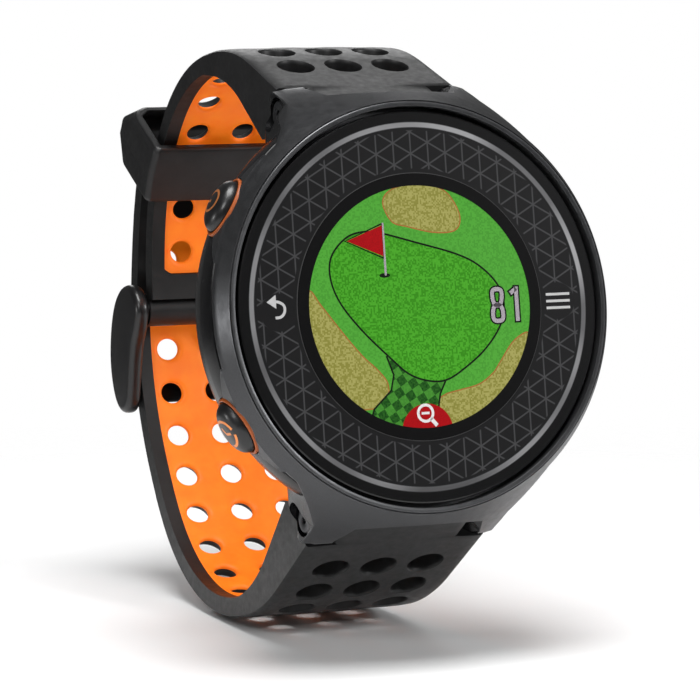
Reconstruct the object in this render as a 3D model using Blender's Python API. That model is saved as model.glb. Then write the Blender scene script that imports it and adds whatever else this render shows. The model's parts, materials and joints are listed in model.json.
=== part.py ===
"""Golf GPS watch standing on its closed strap, as an assembly of separate pieces.

The dial's axis is the Y axis: the dial faces -Y, 12 o'clock is +Z and 3 o'clock is +X. The origin
is the middle of the lens's outer face. Lengths below are millimetres; make_object() writes metres.
"""

from math import cos, pi, radians, sin, sqrt

import bmesh
import bpy
from mathutils import Matrix, Vector

MM = 0.001
GAP = 0.3

# Case, from the lens (y = 0) to the back cover.
LENS_RADIUS = 20.6
LENS_THICKNESS = 1.2
BEZEL_INNER = 21.0
BEZEL_RIM = 21.6
BEZEL_OUTER = 22.7
BEZEL_PROUD = 0.45
SKIRT_END_Y = 1.8
LEDGE_RADIUS = 18.0
LEDGE_Y = 2.1
FLANGE_END_Y = 3.4
FLANGE_OUTER = 21.4
CASE_RADIUS = 22.9
CASE_FLAT_Z = 18.9
CAVITY_RADIUS = 17.0
SEAT_RADIUS = 17.8
SEAT_DEPTH = 0.8
CASE_BACK_Y = 11.0
COVER_RADIUS = 20.3
COVER_Y = 11.3
COVER_THICKNESS = 1.4

# Lugs and the screwed pin that carries each strap half.
LUG_INNER_X = 7.5
LUG_OUTER_X = 11.2
PIN_Y = 8.9
PIN_Z = 21.4
TUBE_RADIUS = 1.0
TUBE_BORE = 0.7
PIN_HOLE = 1.3
RECESS_RADIUS = 1.9
RECESS_DEPTH = 0.9

# Side buttons.
BUTTON_ANGLE = 30.0
BUTTON_Y = 4.2
BUTTON_TRAVEL = 0.5
CAP_HALF_LENGTH = 2.75
CAP_HALF_HEIGHT = 2.1
RING_WIDTH = 0.45
CAP_TOP = 24.3
RING_TOP = 23.1
POCKET_FLOOR = 20.9
STEM_RADIUS = 0.8

# Strap.
ROOT_Y = 5.9
ROOT_Z = 22.45
ROOT_SLOPE = 26.6
STRAP_HALF_WIDTH = 10.5
TAIL_HALF_WIDTH = 9.5
TONGUE_HALF_WIDTH = 7.2
SHOULDER = 4.6
STRAP_THICKNESS = 2.3
COLUMN_PITCH = 5.6
ROW_PITCH = 5.45
HOLE_OUTER = 2.05
HOLE_INNER = 1.5
RECESS = 0.9
INLAY = 0.6
# Each step of a strap's outer line is a length and the angle it turns by, inwards.
UPPER_PATH = ((12.9, 0.0), (11.6, 26.6), (2.0, 0.0), (15.2, 38.0), (15.2, 33.0), (9.0, 17.5))
LOWER_PATH = ((14.9, 0.0), (12.6, 26.6), (2.0, 0.0), (24.9, 57.0), (13.8, 20.0), (15.8, 26.0), (7.0, 5.0),
              (11.0, 19.0))
UPPER_ROWS = 10
LOWER_ROWS = 15
UPPER_FIRST_ROW = 11.0
LOWER_FIRST_ROW = 10.2
TIP_LENGTH = 4.0

# Buckle and keeper.
BAR_Y = 55.4
BAR_Z = 3.9
BAR_RADIUS = 0.8
END_BARREL = 1.9
ARM_INNER_X = 9.85
ARM_OUTER_X = 11.6
PRONG_HALF_WIDTH = 0.7
PRONG_THICKNESS = 0.9
KEEPER_ALONG = 48.5
KEEPER_LENGTH = 7.2
KEEPER_HALF_WIDTH = 11.6
KEEPER_WALL = 1.3
KEEPER_INWARD = 3.05
KEEPER_OUTWARD = 7.0

BLACK_RUBBER = ("black_rubber", (0.012, 0.012, 0.013), 0.62, 0.0)
ORANGE_RUBBER = ("orange_rubber", (0.92, 0.20, 0.01), 0.55, 0.0)
GUNMETAL = ("gunmetal", (0.06, 0.062, 0.066), 0.38, 0.75)
BLACK_PLASTIC = ("black_plastic", (0.01, 0.01, 0.011), 0.35, 0.0)
GLASS = ("printed_glass", (0.014, 0.014, 0.015), 0.12, 0.0)
DISPLAY = ("display", (0.10, 0.42, 0.06), 0.30, 0.0)
STEEL = ("steel", (0.45, 0.45, 0.46), 0.30, 1.0)
DARK_STEEL = ("dark_steel", (0.06, 0.06, 0.065), 0.35, 0.9)
GOLD = ("gold_plate", (0.75, 0.52, 0.18), 0.30, 1.0)
BOARD_GREEN = ("circuit_board", (0.02, 0.14, 0.05), 0.50, 0.0)
WHITE_PLASTIC = ("white_plastic", (0.72, 0.72, 0.70), 0.50, 0.0)
CERAMIC = ("ceramic", (0.50, 0.42, 0.30), 0.60, 0.0)
FOIL = ("cell_foil", (0.35, 0.36, 0.38), 0.35, 0.8)
SEAL = ("seal_rubber", (0.03, 0.03, 0.035), 0.70, 0.0)


def clear_scene():
    for obj in list(bpy.data.objects):
        bpy.data.objects.remove(obj)


def material(finish):
    name, colour, roughness, metallic = finish
    found = bpy.data.materials.get(name)
    if found:
        return found
    made = bpy.data.materials.new(name)
    made.use_nodes = True
    shader = made.node_tree.nodes["Principled BSDF"]
    shader.inputs["Base Color"].default_value = (*colour, 1.0)
    shader.inputs["Roughness"].default_value = roughness
    shader.inputs["Metallic"].default_value = metallic
    made.diffuse_color = (*colour, 1.0)
    return made


def make_object(name, bm, finish, origin=(0.0, 0.0, 0.0)):
    """Turns a bmesh in millimetres into an object whose origin is at `origin`, also in millimetres."""
    bmesh.ops.remove_doubles(bm, verts=bm.verts, dist=1e-4)
    bmesh.ops.recalc_face_normals(bm, faces=bm.faces)
    bmesh.ops.translate(bm, verts=bm.verts, vec=-Vector(origin))
    bmesh.ops.scale(bm, verts=bm.verts, vec=(MM, MM, MM))
    mesh = bpy.data.meshes.new(name)
    bm.to_mesh(mesh)
    bm.free()
    mesh.shade_smooth()
    mesh.set_sharp_from_angle(angle=radians(35))
    mesh.materials.append(material(finish))
    obj = bpy.data.objects.new(name, mesh)
    obj.location = Vector(origin) * MM
    bpy.context.scene.collection.objects.link(obj)
    return obj


def helper(name, bm):
    """A cutter or a shape to add: it only feeds a Boolean, so it isn't rendered."""
    obj = make_object(name, bm, SEAL)
    obj.hide_render = True
    obj.display_type = "WIRE"
    return obj


def boolean(obj, bm, operation):
    other = helper(f"{operation.lower()}_{obj.name}_{len(obj.modifiers)}", bm)
    modifier = obj.modifiers.new(other.name, "BOOLEAN")
    modifier.operation = operation
    modifier.object = other


def add(obj, bm):
    boolean(obj, bm, "UNION")


def cut(obj, bm):
    boolean(obj, bm, "DIFFERENCE")


def soften(bm, width, segments=2, least=radians(30)):
    """Rounds every edge of a shape that is sharper than `least`."""
    bmesh.ops.recalc_face_normals(bm, faces=bm.faces)
    sharp = [edge for edge in bm.edges if edge.calc_face_angle(0.0) > least]
    bmesh.ops.bevel(bm, geom=sharp, offset=width, segments=segments, profile=0.5, affect="EDGES")
    return bm


def extruded(points, direction):
    """A closed prism: the flat outline `points`, extruded by the vector `direction`."""
    bm = bmesh.new()
    face = bm.faces.new([bm.verts.new(point) for point in points])
    result = bmesh.ops.extrude_face_region(bm, geom=[face])
    moved = [item for item in result["geom"] if isinstance(item, bmesh.types.BMVert)]
    bmesh.ops.translate(bm, verts=moved, vec=direction)
    bmesh.ops.recalc_face_normals(bm, faces=bm.faces)
    return bm


def across(outline, x_from, x_to):
    """A prism along X of an outline given as (y, z)."""
    return extruded([(x_from, y, z) for y, z in outline], (x_to - x_from, 0, 0))


def plate(outline, y_from, y_to):
    """A prism along Y of an outline given as (x, z)."""
    return extruded([(x, y_from, z) for x, z in outline], (0, y_to - y_from, 0))


def circle(radius, steps, centre=(0.0, 0.0)):
    turns = [2 * pi * k / steps for k in range(steps)]
    return [(centre[0] + radius * cos(a), centre[1] + radius * sin(a)) for a in turns]


def rounded_box(half_x, half_z, radius, centre=(0.0, 0.0), steps=3):
    outline = []
    for quarter, (sx, sz) in enumerate(((1, 1), (-1, 1), (-1, -1), (1, -1))):
        for k in range(steps + 1):
            a = pi / 2 * (quarter + k / steps)
            outline.append((centre[0] + sx * (half_x - radius) + radius * cos(a),
                            centre[1] + sz * (half_z - radius) + radius * sin(a)))
    return outline


def turned(profile, steps=36, closed=True):
    """A shape turned about the Y axis, from (radius, y) points: a ring if closed, else axis to axis."""
    bm = bmesh.new()
    verts = [bm.verts.new((radius, y, 0.0)) for radius, y in profile]
    ends = list(zip(verts, verts[1:] + verts[:1] if closed else verts[1:]))
    edges = [bm.edges.new(pair) for pair in ends]
    bmesh.ops.spin(bm, geom=verts + edges, cent=(0, 0, 0), axis=(0, 1, 0), angle=2 * pi,
                   steps=steps, use_merge=True)
    bmesh.ops.remove_doubles(bm, verts=bm.verts, dist=1e-4)
    bmesh.ops.dissolve_degenerate(bm, edges=bm.edges, dist=1e-5)
    bmesh.ops.recalc_face_normals(bm, faces=bm.faces)
    return bm


def rod(start, direction, radius, length, steps=12):
    """A cylinder from `start` along a unit vector."""
    direction = Vector(direction).normalized()
    side = direction.orthogonal().normalized()
    other = direction.cross(side)
    ring = [Vector(start) + radius * (u * side + v * other) for u, v in circle(1.0, steps)]
    return extruded(ring, direction * length)


def turned_along(profile, centre, direction, steps=12, closed=False):
    """A turned shape whose axis is moved from Y to `direction` through `centre`."""
    bm = turned(profile, steps, closed)
    turn = Vector((0, 1, 0)).rotation_difference(Vector(direction)).to_matrix().to_4x4()
    bmesh.ops.transform(bm, matrix=Matrix.Translation(centre) @ turn, verts=bm.verts)
    return bm


def clamp_flats(bm, half_z, least_x=None):
    """Cuts flats on a turned shape by moving whatever lies outside onto them."""
    for vert in bm.verts:
        vert.co.z = max(-half_z, min(half_z, vert.co.z))
        if least_x is not None:
            vert.co.x = max(least_x, vert.co.x)
    return bm


# ---------------------------------------------------------------- case


def lug_outline(side):
    """Side view of a lug: it leaves the bezel and hooks round the strap pin."""
    outline = [
        (0.9, 18.9), (0.1, 20.3), (1.4, 21.6), (4.2, 22.6), (7.4, 23.6), (9.3, 24.3),
        (9.9, 23.9), (11.2, 21.2), (11.2, 20.0), (10.2, 19.2), (6.0, 19.2), (3.1, 18.9),
    ]
    return [(y, side * z) for y, z in outline]


def end_block_outline(side):
    """Side view of the bezel's wall between two lugs, in front of the strap."""
    outline = [(0.7, 20.0), (0.2, 20.9), (1.3, 22.0), (3.2, 22.5), (5.5, 22.7), (5.5, 19.2), (3.0, 19.2)]
    return [(y, side * z) for y, z in outline]


def radial(angle_deg):
    """Outward and tangential unit vectors at an angle above 9 o'clock."""
    a = radians(angle_deg)
    return Vector((-cos(a), 0, sin(a))), Vector((sin(a), 0, cos(a)))


def oval(angle_deg, half_length, half_height, inner, outer, steps=20, flare=0.0):
    """An oval plug on a button's axis, from radius `inner` to `outer`."""
    out, along = radial(angle_deg)
    bm = bmesh.new()
    rings = []
    for distance, extra in ((inner, 0.0), (outer, flare)):
        rings.append([
            bm.verts.new(out * distance + along * (half_length + extra) * u
                         + Vector((0, BUTTON_Y + (half_height + extra) * v, 0)))
            for u, v in circle(1.0, steps)
        ])
    for k in range(steps):
        n = (k + 1) % steps
        bm.faces.new((rings[0][k], rings[0][n], rings[1][n], rings[1][k]))
    for ring in rings:
        bm.faces.new(ring)
    bmesh.ops.recalc_face_normals(bm, faces=bm.faces)
    return bm


def brow(angle_deg, extra=0.0):
    """The pointed collar by which the bezel frames the front of a button."""
    out, along = radial(angle_deg)
    outline = [(-5.6, 1.3), (-5.1, 2.1), (-3.6, 3.7), (3.6, 3.7), (5.1, 2.1), (5.6, 1.3)]
    points = [out * (21.15 - extra) + along * t * (1 + extra / 5) + Vector((0, y + extra * 1.3, 0))
              for t, y in outline]
    return extruded(points, out * (1.2 + 4 * extra))


def front_housing():
    profile = [
        (BEZEL_INNER, -BEZEL_PROUD), (BEZEL_RIM, -BEZEL_PROUD), (BEZEL_RIM + 0.35, -0.1),
        (BEZEL_OUTER - 0.1, 1.3), (BEZEL_OUTER, SKIRT_END_Y), (FLANGE_OUTER, SKIRT_END_Y),
        (FLANGE_OUTER, FLANGE_END_Y), (LEDGE_RADIUS, FLANGE_END_Y), (LEDGE_RADIUS, LEDGE_Y),
        (BEZEL_INNER, LEDGE_Y),
    ]
    housing = make_object("front_housing", turned(profile), GUNMETAL)
    for side in (1, -1):
        add(housing, across(end_block_outline(side), -8.2, 8.2))
        for hand in (1, -1):
            lug = across(lug_outline(side), hand * LUG_INNER_X, hand * LUG_OUTER_X)
            add(housing, soften(lug, 0.35, segments=1))
    for angle in (BUTTON_ANGLE, -BUTTON_ANGLE):
        add(housing, brow(angle))
        cut(housing, oval(angle, CAP_HALF_LENGTH + RING_WIDTH + 2 * GAP,
                          CAP_HALF_HEIGHT + RING_WIDTH + 2 * GAP, 18.9, 26.0))
    bore, depth = BEZEL_INNER - 0.05, LEDGE_Y - 0.05
    cut(housing, turned([(0, -1.0), (bore, -1.0), (bore, depth), (0, depth)], closed=False))
    for side in (1, -1):
        start = (-LUG_OUTER_X - 1, PIN_Y, side * PIN_Z)
        cut(housing, rod(start, (1, 0, 0), PIN_HOLE, 2 * LUG_OUTER_X + 2))
        for hand in (1, -1):
            start = (hand * (LUG_OUTER_X - RECESS_DEPTH), PIN_Y, side * PIN_Z)
            cut(housing, rod(start, (hand, 0, 0), RECESS_RADIUS, 3.0, 16))


def mid_case():
    step_y = FLANGE_END_Y + GAP
    profile = [
        (FLANGE_OUTER + GAP, SKIRT_END_Y + GAP), (CASE_RADIUS - 0.5, SKIRT_END_Y + GAP),
        (CASE_RADIUS - 0.1, 2.8), (CASE_RADIUS, 4.6), (CASE_RADIUS - 0.7, 7.4),
        (COVER_RADIUS + 0.6, CASE_BACK_Y - 0.6), (COVER_RADIUS, CASE_BACK_Y),
        (SEAT_RADIUS, CASE_BACK_Y), (SEAT_RADIUS, CASE_BACK_Y - SEAT_DEPTH),
        (CAVITY_RADIUS, CASE_BACK_Y - SEAT_DEPTH), (CAVITY_RADIUS, step_y), (FLANGE_OUTER + GAP, step_y),
    ]
    case = make_object("mid_case", turned(profile), BLACK_PLASTIC)
    for side in (1, -1):
        beyond = [(-30, side * CASE_FLAT_Z), (30, side * CASE_FLAT_Z), (30, side * 30), (-30, side * 30)]
        cut(case, plate(beyond, 0.0, 15.0))
    for angle in (BUTTON_ANGLE, -BUTTON_ANGLE):
        out, _ = radial(angle)
        centre = Vector((0, BUTTON_Y, 0))
        cut(case, oval(angle, CAP_HALF_LENGTH + RING_WIDTH + GAP, CAP_HALF_HEIGHT + RING_WIDTH + GAP,
                       POCKET_FLOOR, 26.0))
        cut(case, brow(angle, GAP))
        cut(case, rod(centre + out * 15.5, out, STEM_RADIUS + GAP, 8.0))
        cut(case, rod(centre + out * 18.4, out, 1.75, 4.0))
    for x, z in screw_places():
        cut(case, rod((x, CASE_BACK_Y - 2.6, z), (0, 1, 0), 0.75, 4.0))


def screw_places():
    spread = 18.65 / sqrt(2)
    return [(sx * spread, sz * spread) for sx in (1, -1) for sz in (1, -1)]


def contact_places():
    return [(-4.5 + 3.0 * k, -7.0) for k in range(4)]


def back_cover():
    profile = [(0, COVER_Y), (COVER_RADIUS, COVER_Y), (COVER_RADIUS, COVER_Y + 0.6),
               (COVER_RADIUS - 1.0, COVER_Y + COVER_THICKNESS), (0, COVER_Y + COVER_THICKNESS)]
    bm = clamp_flats(turned(profile, closed=False), CASE_FLAT_Z - 0.4)
    cover = make_object("back_cover", bm, BLACK_PLASTIC)
    for x, z in screw_places():
        cut(cover, rod((x, COVER_Y - 1, z), (0, 1, 0), 0.8, 4.0))
        cut(cover, rod((x, COVER_Y + 0.7, z), (0, 1, 0), 1.45, 4.0))
    for x, z in contact_places():
        cut(cover, rod((x, COVER_Y - 1, z), (0, 1, 0), 1.1, 4.0))


def back_screws():
    head_y = COVER_Y + COVER_THICKNESS - 0.1
    for number, (x, z) in enumerate(screw_places(), 1):
        profile = [(0, -3.6), (0.45, -3.6), (0.45, -0.4), (1.1, -0.4), (1.1, 0.0), (0.5, 0.0),
                   (0.5, -0.25), (0, -0.25)]
        bm = turned_along(profile, (x, head_y, z), (0, 1, 0))
        make_object(f"back_screw_{number}", bm, STEEL)


def charge_contacts():
    for number, (x, z) in enumerate(contact_places(), 1):
        bm = rod((x, COVER_Y - 0.3, z), (0, 1, 0), 0.8, COVER_THICKNESS + 0.3)
        make_object(f"charge_contact_{number}", bm, GOLD)


def front_stack():
    lens = [(0, 0), (LENS_RADIUS - 0.25, 0), (LENS_RADIUS, 0.25), (LENS_RADIUS, LENS_THICKNESS),
            (0, LENS_THICKNESS)]
    make_object("lens_glass", turned(lens, closed=False), GLASS)
    seal_y = LENS_THICKNESS + GAP
    seal = [(18.5, seal_y), (20.4, seal_y), (20.4, LEDGE_Y - GAP), (18.5, LEDGE_Y - GAP)]
    make_object("lens_gasket", turned(seal), SEAL)
    display = [(0, 1.5), (13.5, 1.5), (13.5, 2.9), (0, 2.9)]
    make_object("display_module", turned(display, closed=False), DISPLAY)
    backlight = [(0, 3.2), (13.3, 3.2), (13.3, 3.8), (0, 3.8)]
    make_object("backlight_plate", turned(backlight, closed=False), WHITE_PLASTIC)


def inside():
    chassis = [(0, 4.1), (16.4, 4.1), (16.4, 4.8), (0, 4.8)]
    bm = clamp_flats(turned(chassis, closed=False), 20.0, -10.2)
    frame = make_object("inner_chassis", bm, WHITE_PLASTIC)
    cut(frame, plate(rounded_box(4.6, 0.8, 0.3, (0, -14.3), 1), 3.0, 6.0))
    board = [(0, 5.1), (16.2, 5.1), (16.2, 5.8), (0, 5.8)]
    bm = clamp_flats(turned(board, closed=False), 20.0, -10.2)
    circuit = make_object("main_board", bm, BOARD_GREEN)
    cut(circuit, plate(rounded_box(4.6, 0.8, 0.3, (0, -14.3), 1), 4.5, 7.0))
    can = soften(plate(rounded_box(5.6, 3.4, 0.6, (-3.0, 9.4), 2), 6.1, 7.1), 0.2, 1)
    make_object("shield_can", can, STEEL)
    patch = plate(rounded_box(3.6, 3.0, 0.3, (7.6, 9.6), 1), 6.1, 8.0)
    make_object("gps_antenna", patch, CERAMIC)
    cell = soften(plate(rounded_box(11.4, 8.0, 1.4, (1.2, -2.6), 3), 7.0, 10.4), 0.5, 1)
    make_object("battery", cell, FOIL)
    disc = [(0, 0), (3.4, 0), (3.4, 0.5), (0, 0.5)]
    make_object("buzzer_disc", turned_along(disc, (-7.6, 10.2, 9.0), (0, 1, 0), 20), GOLD)
    fold = [(2.0, -13.8), (2.0, -14.05), (5.2, -14.45), (6.4, -14.45), (6.4, -12.0), (6.15, -12.0),
            (6.15, -14.2), (5.2, -14.2)]
    make_object("display_flex", across(fold, -4.0, 4.0), GOLD)
    seal = [(CAVITY_RADIUS + 0.05, 10.35), (SEAT_RADIUS - 0.2, 10.35),
            (SEAT_RADIUS - 0.2, COVER_Y - 0.15), (CAVITY_RADIUS + 0.05, COVER_Y - 0.15)]
    make_object("back_gasket", turned(seal), SEAL)


# ---------------------------------------------------------------- buttons


def button(label, angle):
    out, along = radial(angle)
    centre = Vector((0, BUTTON_Y, 0))
    seat = centre + out * POCKET_FLOOR

    bm = bmesh.new()
    steps = 20
    rings = []
    base = POCKET_FLOOR + BUTTON_TRAVEL + GAP
    for share, distance in ((0.93, base), (1.0, base + 0.3), (1.0, RING_TOP - 0.1), (0.93, RING_TOP + 0.5),
                            (0.72, CAP_TOP - 0.25), (0.38, CAP_TOP)):
        rings.append([
            bm.verts.new(centre + out * distance + along * CAP_HALF_LENGTH * share * u
                         + Vector((0, CAP_HALF_HEIGHT * share * v, 0)))
            for u, v in circle(1.0, steps)
        ])
    for low, high in zip(rings, rings[1:]):
        for k in range(steps):
            n = (k + 1) % steps
            bm.faces.new((low[k], low[n], high[n], high[k]))
    bm.faces.new(rings[0])
    bm.faces.new(rings[-1])
    cap = make_object(f"button_{label}_cap", bm, BLACK_PLASTIC, seat)
    add(cap, rod(centre + out * 16.1, out, STEM_RADIUS, base - 15.6))

    inner = oval(angle, CAP_HALF_LENGTH + 0.2, CAP_HALF_HEIGHT + 0.2, POCKET_FLOOR - 1, 26.0)
    ring = oval(angle, CAP_HALF_LENGTH + 0.2 + RING_WIDTH, CAP_HALF_HEIGHT + 0.2 + RING_WIDTH,
                POCKET_FLOOR + GAP, RING_TOP)
    trim = make_object(f"button_{label}_ring", ring, ORANGE_RUBBER)
    cut(trim, inner)

    seal = [(0.27 * cos(a), 0.27 * sin(a)) for a in (2 * pi * k / 8 for k in range(8))]
    seal = [(1.24 + r, y) for r, y in seal]
    make_object(f"button_{label}_seal", turned_along(seal, centre + out * 19.2, out, 16, True), SEAL)

    clip = [(0.95, 0), (1.55, 0), (1.55, 0.35), (0.95, 0.35)]
    make_object(f"button_{label}_clip", turned_along(clip, centre + out * 16.3, out, 12, True), STEEL)

    half_t, half_y = 1.7, 1.3
    base_point = centre + out * 13.9
    corners = [base_point + along * t * half_t + Vector((0, y * half_y, 0))
               for t, y in ((1, 1), (-1, 1), (-1, -1), (1, -1))]
    switch = extruded(corners, out * 1.2)
    body = make_object(f"button_{label}_switch", switch, DARK_STEEL)
    add(body, rod(centre + out * 14.9, out, 0.7, 0.5))


# ---------------------------------------------------------------- strap


class Path:
    """The outer line of a strap half in the YZ plane, from its root: straight lines and arcs."""

    def __init__(self, steps, side):
        self.side = side
        self.steps = steps
        self.length = sum(length for length, _ in steps)

    def at(self, s):
        """Point and heading (radians from +Y, towards 12 o'clock) at arc length s."""
        y, z, heading = ROOT_Y, ROOT_Z, radians(ROOT_SLOPE)
        for length, turn in self.steps:
            part = min(max(s, 0.0), length)
            turned_by = radians(turn) * part / length
            chord = part if turn == 0 else 2 * length / radians(turn) * sin(turned_by / 2)
            y += chord * cos(heading - turned_by / 2)
            z += chord * sin(heading - turned_by / 2)
            heading -= turned_by
            s -= length
            if s <= 0:
                break
        return y, z * self.side, heading * self.side

    def point(self, s, x, outward):
        y, z, heading = self.at(s)
        normal = (-sin(heading) * self.side, cos(heading) * self.side)
        return Vector((x, y + normal[0] * outward, z + normal[1] * outward))


def thickness(s):
    """The strap is a wedge behind its lugs and thins to an even band."""
    root = 3.6 + 0.47 * s
    wedge = STRAP_THICKNESS + 6.2 * max(0.0, 1 - s / 28.0) ** 1.2
    return min(root, wedge)


def half_width(s, length, tip):
    if s < SHOULDER - 0.01:
        return TONGUE_HALF_WIDTH
    width = STRAP_HALF_WIDTH + (TAIL_HALF_WIDTH - STRAP_HALF_WIDTH) * min(1.0, s / 60.0)
    if tip and s > length - TIP_LENGTH:
        width *= sqrt(1 - 0.8 * ((s - length + TIP_LENGTH) / TIP_LENGTH) ** 2)
    return width


def band(path, stations, lines, thin_rows, columns, top, floor, bottom, width):
    """A band with rows of holes.

    Cells between stations in `thin_rows` and lines in `columns` end at floor(s), the others at
    bottom(s). A hole is centred on each inner crossing of a thin pair of cells.
    """
    bm = bmesh.new()
    made = {}
    last = len(lines) - 1

    def place(i, j):
        half = width(stations[i])
        if j in (0, last):
            return half if j else -half
        return lines[j] * min(1.0, (half - 0.6) / abs(lines[1]))

    def vert(i, j, level):
        key = (i, j, level)
        if key not in made:
            s = stations[i]
            made[key] = bm.verts.new(path.point(s, place(i, j), level(s)))
        return made[key]

    def thin(i, j):
        return i in thin_rows and j in columns

    def level_of(i, j):
        return floor if thin(i, j) else bottom

    holes = {}
    for i in sorted(thin_rows):
        if (i - min(thin_rows)) % 2 == 0:
            for j in list(columns)[::2]:
                holes[(i + 1, j + 1)] = True

    def beside_hole(i, j):
        return any((i + a, j + b) in holes for a in (0, 1) for b in (0, 1))

    for i in range(len(stations) - 1):
        for j in range(last):
            corners = ((i, j), (i + 1, j), (i + 1, j + 1), (i, j + 1))
            if not beside_hole(i, j):
                bm.faces.new([vert(a, b, top) for a, b in corners])
                bm.faces.new([vert(a, b, level_of(i, j)) for a, b in reversed(corners)])
            for (a, b), (c, d), (ni, nj) in (
                ((i, j), (i + 1, j), (i, j - 1)), ((i + 1, j), (i + 1, j + 1), (i + 1, j)),
                ((i + 1, j + 1), (i, j + 1), (i, j + 1)), ((i, j + 1), (i, j), (i - 1, j)),
            ):
                outside = not (0 <= ni < len(stations) - 1 and 0 <= nj < last)
                if outside:
                    low = level_of(i, j)
                    bm.faces.new((vert(a, b, top), vert(c, d, top), vert(c, d, low), vert(a, b, low)))
                elif thin(i, j) and not thin(ni, nj):
                    bm.faces.new((vert(a, b, floor), vert(c, d, floor),
                                  vert(c, d, bottom), vert(a, b, bottom)))
    for i, j in holes:
        around = ((i - 1, j - 1), (i, j - 1), (i + 1, j - 1), (i + 1, j),
                  (i + 1, j + 1), (i, j + 1), (i - 1, j + 1), (i - 1, j))
        rims = []
        for level, radius in ((top, HOLE_OUTER), (floor, HOLE_INNER)):
            rim = []
            for k in range(8):
                a = 2 * pi * (k - 3) / 8
                s = stations[i] + radius * cos(a)
                rim.append(bm.verts.new(path.point(s, lines[j] + radius * sin(a), level(s))))
            rims.append(rim)
            for k in range(8):
                n = (k + 1) % 8
                bm.faces.new((vert(*around[k], level), vert(*around[n], level), rim[n], rim[k]))
        for k in range(8):
            n = (k + 1) % 8
            bm.faces.new((rims[0][k], rims[0][n], rims[1][n], rims[1][k]))
    return bm


def strap_layout(first_row, rows, length, tip):
    """Stations along the strap and which of the gaps between them hold the holes."""
    start = first_row - ROW_PITCH / 2
    stations = [0.0, 2.2, SHOULDER - 0.25, SHOULDER]
    first_thin = len(stations)
    stations += [start + ROW_PITCH / 2 * k for k in range(2 * rows + 1)]
    thin_rows = range(first_thin, first_thin + 2 * rows)
    end = stations[-1]
    rest = length - end
    pieces = max(2, round(rest / 3.0))
    if tip:
        stations += [end + (rest - TIP_LENGTH) * 0.99]
        stations += [length - TIP_LENGTH + TIP_LENGTH * share for share in (0.4, 0.75, 1.0)]
    else:
        stations += [end + rest * k / pieces for k in range(1, pieces + 1)]
    return stations, thin_rows


def strap_half(label, steps, side, first_row, rows, tip):
    path = Path(steps, side)
    stations, thin_rows = strap_layout(first_row, rows, path.length, tip)
    rail = 1.5 * COLUMN_PITCH
    inner_lines = [COLUMN_PITCH / 2 * k for k in range(-3, 4)]
    lines = [-STRAP_HALF_WIDTH] + inner_lines + [STRAP_HALF_WIDTH]
    pivot = (0.0, PIN_Y, side * PIN_Z)

    def width(s):
        return half_width(s, path.length, tip)

    body = band(path, stations, lines, thin_rows, range(1, 7), lambda s: 0.0,
                lambda s: RECESS - thickness(s), lambda s: -thickness(s), width)
    strap = make_object(f"strap_{label}", body, BLACK_RUBBER, pivot)
    cut(strap, rod((-9, PIN_Y, side * PIN_Z), (1, 0, 0), PIN_HOLE, 18))

    first, last = thin_rows[0], thin_rows[-1] + 1
    inlay_stations = [stations[first] + GAP] + stations[first + 1:last] + [stations[last] - GAP]
    edge = rail - GAP
    inlay_lines = [-edge] + inner_lines[1:-1] + [edge]
    inlay = band(path, inlay_stations, inlay_lines, range(0, len(inlay_stations) - 1), range(0, 6),
                 lambda s: INLAY - thickness(s), lambda s: -thickness(s), lambda s: -thickness(s),
                 lambda s: edge)
    make_object(f"strap_{label}_inlay", inlay, ORANGE_RUBBER, pivot)
    return strap, path


def upper_end(strap):
    """The barrel that wraps the buckle's bar, slotted for the prong."""
    centre = (-TAIL_HALF_WIDTH, BAR_Y, BAR_Z)
    add(strap, rod(centre, (1, 0, 0), END_BARREL, 2 * TAIL_HALF_WIDTH, 16))
    cut(strap, rod((-12, BAR_Y, BAR_Z), (1, 0, 0), BAR_RADIUS + GAP, 24))
    slot = [(BAR_Y - 2.6, BAR_Z - 3.0), (BAR_Y + 3.0, BAR_Z - 3.0), (BAR_Y + 3.0, BAR_Z + 2.6),
            (BAR_Y - 2.6, BAR_Z + 2.6)]
    cut(strap, across(slot, -PRONG_HALF_WIDTH - GAP, PRONG_HALF_WIDTH + GAP))


def pins_and_screws():
    for label, side in (("upper", 1), ("lower", -1)):
        half = LUG_OUTER_X - RECESS_DEPTH - GAP
        tube = [(TUBE_BORE, -half), (TUBE_RADIUS, -half), (TUBE_RADIUS, half), (TUBE_BORE, half)]
        centre = (0, PIN_Y, side * PIN_Z)
        make_object(f"strap_pin_{label}", turned_along(tube, centre, (1, 0, 0), 12, True), STEEL)
        for name, hand in (("left", -1), ("right", 1)):
            profile = [(0, -3.4), (0.42, -3.4), (0.42, 0.0), (1.5, 0.0), (1.5, 0.5), (0.6, 0.5),
                       (0.6, 0.25), (0, 0.25)]
            seat = (hand * (LUG_OUTER_X - RECESS_DEPTH + GAP / 2), PIN_Y, side * PIN_Z)
            bm = turned_along(profile, seat, (hand, 0, 0))
            make_object(f"lug_screw_{label}_{name}", bm, DARK_STEEL)


# ---------------------------------------------------------------- buckle and keeper


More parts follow.
